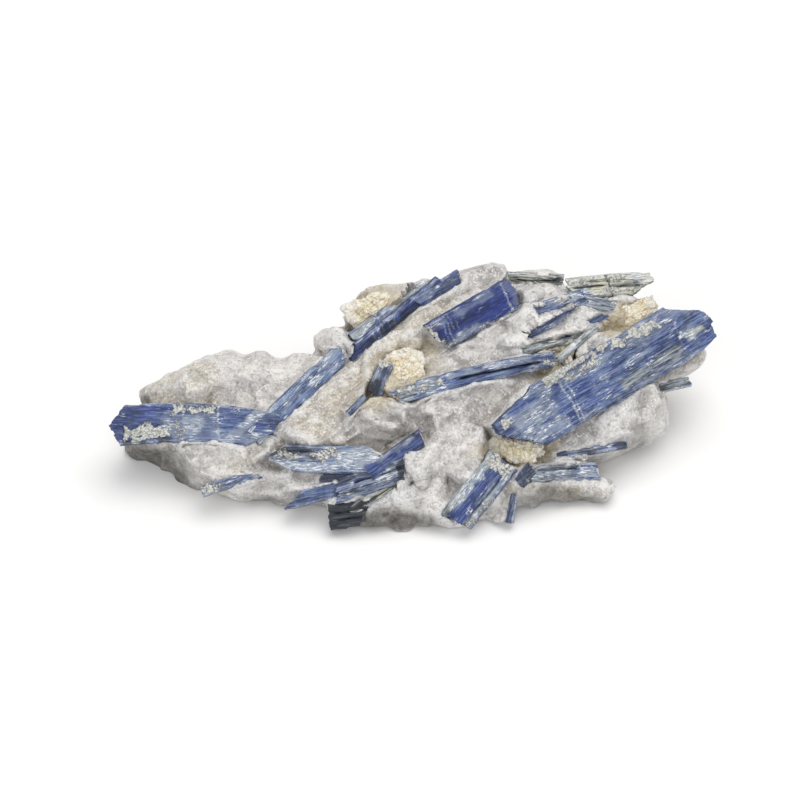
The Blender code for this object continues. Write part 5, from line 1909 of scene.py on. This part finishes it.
def flake_arrays(places, normals, seed):
    """Points and faces of thin six-sided plates: round each place, a hexagon of random size in
    a plane that leans at random from the surface, once at each side of its thickness."""
    rng = np.random.default_rng(seed)
    count = len(places)
    facing = normals + FLAKE_LEAN * (rng.random((count, 3)) - 0.5)
    facing /= np.linalg.norm(facing, axis=1, keepdims=True)
    first = np.cross(facing, rng.random((count, 3)) - 0.5)
    first /= np.linalg.norm(first, axis=1, keepdims=True)
    second = np.cross(facing, first)
    angle = np.arange(FLAKE_SIDES) * 2.0 * math.pi / FLAKE_SIDES
    radius = rng.uniform(*FLAKE_RADIUS, count)[:, None, None]
    squash = rng.uniform(*FLAKE_SQUASH, count)[:, None, None]
    rim = radius * (first[:, None] * np.cos(angle)[:, None]
                    + squash * second[:, None] * np.sin(angle)[:, None])
    half = (rng.uniform(*FLAKE_THICKNESS, count)[:, None] / 2.0 * facing)[:, None]
    centre = places[:, None] + rim
    points = np.concatenate([centre + half, centre - half], axis=1).reshape(-1, 3)
    base = (np.arange(count) * 2 * FLAKE_SIDES)[:, None]
    side = np.arange(FLAKE_SIDES)
    after = (side + 1) % FLAKE_SIDES
    rims = np.stack([side, side + FLAKE_SIDES, after + FLAKE_SIDES, after], axis=1)
    walls = (base[:, None] + rims).reshape(-1, 4)
    top = base + side
    return points, [*top.tolist(), *(top[:, ::-1] + FLAKE_SIDES).tolist(), *walls.tolist()]


flat_flake, _ = flake_arrays(np.zeros((1, 3)), W_AXIS[None], 0)
print("points of one flake:", len(flat_flake))

# %% [markdown]
# ## Mica: skin and flakes as one mesh
#
# The flakes are set on random points of the skin's open side, and the face numbers of the
# flakes are moved along by the points of the skin. The finish is told which points are
# flakes, which lie in a hollow, and how near the middle of the crust each one is.

# %% A whole crust
FLAKE_FACING = 0.1
MICA_HOLLOW_ROUNDS = 8
MIDDLE_WANDER = 2.5
MIDDLE_ROUGHNESS = 0.2
MIDDLE_EDGE = (0.45, 0.95)


def mica_mesh(node, seed):
    """A crust: its skin, flakes on its open side, and the values that the finish reads."""
    blank, points, edges = mica_skin(node, seed)
    normals = normals_of(blank, points)
    rng = np.random.default_rng(seed)
    open_side = np.flatnonzero(normals @ W_AXIS > FLAKE_FACING)
    chosen = rng.choice(open_side, FLAKES)
    flakes, faces = flake_arrays(points[chosen], normals[chosen], seed + 1)
    skin = np.zeros(len(blank.polygons) * 4, np.int64)
    blank.polygons.foreach_get("vertices", skin)
    mesh = bpy.data.meshes.new(node)
    everything = np.concatenate([points, flakes])
    shifted = [[i + len(points) for i in face] for face in faces]
    mesh.from_pydata(everything * MM, [], [*skin.reshape(-1, 4).tolist(), *shifted])
    outward(mesh)
    hollow = hollow_depth(points, edges, normals, MICA_HOLLOW_ROUNDS, SOFT_PULL)
    _, away = from_middle(everything, points.mean(axis=0))
    away = away + MIDDLE_ROUGHNESS * layered_noise(everything, MIDDLE_WANDER, seed + 3)
    add_values(mesh, {
        "hollow": np.concatenate([hollow, np.zeros(len(flakes))]),
        "flake": np.concatenate([np.zeros(len(points)), np.ones(len(flakes))]),
        "middle": 1.0 - ramp(away, *MIDDLE_EDGE)})
    return mesh


print("flakes on each crust:", FLAKES)

# %% [markdown]
# ## Mica: the finish
#
# Mica is pale and pearly. A crust of it is cream, whiter where flakes catch the light, golden
# where iron has crept in between them, and brown in the seams and hollows. Towards its rim it
# takes on the tone of the quartz round it. Each cell of a fine pattern tips the normal its
# own way, as the flakes do.

# %% Mica finish
MICA_CREAM = rgb(0.860, 0.805, 0.660)
MICA_WHITE = rgb(0.900, 0.880, 0.820)
MICA_GOLD = rgb(0.680, 0.550, 0.290)
MICA_BROWN = rgb(0.220, 0.140, 0.070)
CRUST_EDGE = rgb(0.700, 0.670, 0.610)


def mica_finish():
    """Cream and white, then gold, brown seams and hollows, pale flakes and a pale rim."""
    f = Finish("mica_cream")
    at = f.place()
    cloud = f.noise(at, 0.28, 3.0, 0.6)
    grains = f.cells(at, 1.6, output="Color")
    speckle = f.noise(at, 1.7, 4.0, 0.7)
    hollow = f.attribute("hollow")
    flake = f.attribute("flake")
    colour = f.mix(cloud.over(0.42, 0.58), MICA_CREAM, MICA_WHITE)
    blotch = f.noise(at, 0.55, 4.0, 0.7)
    middle = f.attribute("middle")
    gold = (blotch + 0.3 * hollow + 0.16 * middle).over(0.54, 0.68)
    colour = f.mix(gold * 0.55, colour, MICA_GOLD)
    colour = f.mix((speckle + 0.2 * hollow).over(0.56, 0.68) * 0.3, colour, MICA_GOLD)
    seams = 1.0 - f.cells(at, 0.7, "DISTANCE_TO_EDGE").over(0.0, 0.07)
    colour = f.mix(seams * blotch.over(0.50, 0.66) * middle, colour, MICA_BROWN)
    colour = f.mix((hollow + 0.3 * speckle).over(0.34, 0.60) * 0.45, colour, MICA_BROWN)
    colour = f.mix(flake * speckle.over(0.40, 0.6) * 0.7, colour, MICA_WHITE)
    colour = f.mix((1.0 - middle) * 0.45, colour, CRUST_EDGE)
    normal = f.bump(speckle - seams, 0.0003, 0.6)
    f.set(Base_Color=colour,
          Roughness=0.30 + 0.3 * speckle,
          Normal=tilted(normal, grains, 0.3),
          Sheen_Weight=0.15,
          Specular_IOR_Level=0.55)
    return f


mica = mica_finish()
print("mica nodes:", len(mica.tree.nodes))

# %% [markdown]
# ## Mica: the crusts go into the scene
#
# Each crust has a seed of its own, so that no two have the same grains or flakes.

# %% Make the crusts
MICA_NODES = ("mica_middle", "mica_lower", "mica_right", "mica_upper_left", "mica_upper_right",
              "mica_between")

for number, node in enumerate(MICA_NODES):
    add_piece(node, mica_mesh(node, 200 + 10 * number), mica)
    report(node)

# %% [markdown]
# ## Check the size
#
# How far the pieces reach past the imported model's box is printed for each axis, and the
# last line prints the triangles in all. Nothing may grow past the imported model's box by
# more than a few percent.

# %% Sizes, and the last line
low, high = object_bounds()
for axis, cad_from, cad_to, start, end in zip("XYZ", cad_low, cad_high, low, high):
    below, above = (cad_from - start) / MM, (end - cad_to) / MM
    print(f"{axis}: {below:+.2f} and {above:+.2f} mm past the packed box")
print("triangles in all:", sum(len(p.data.loop_triangles) for p in made_pieces.values()))
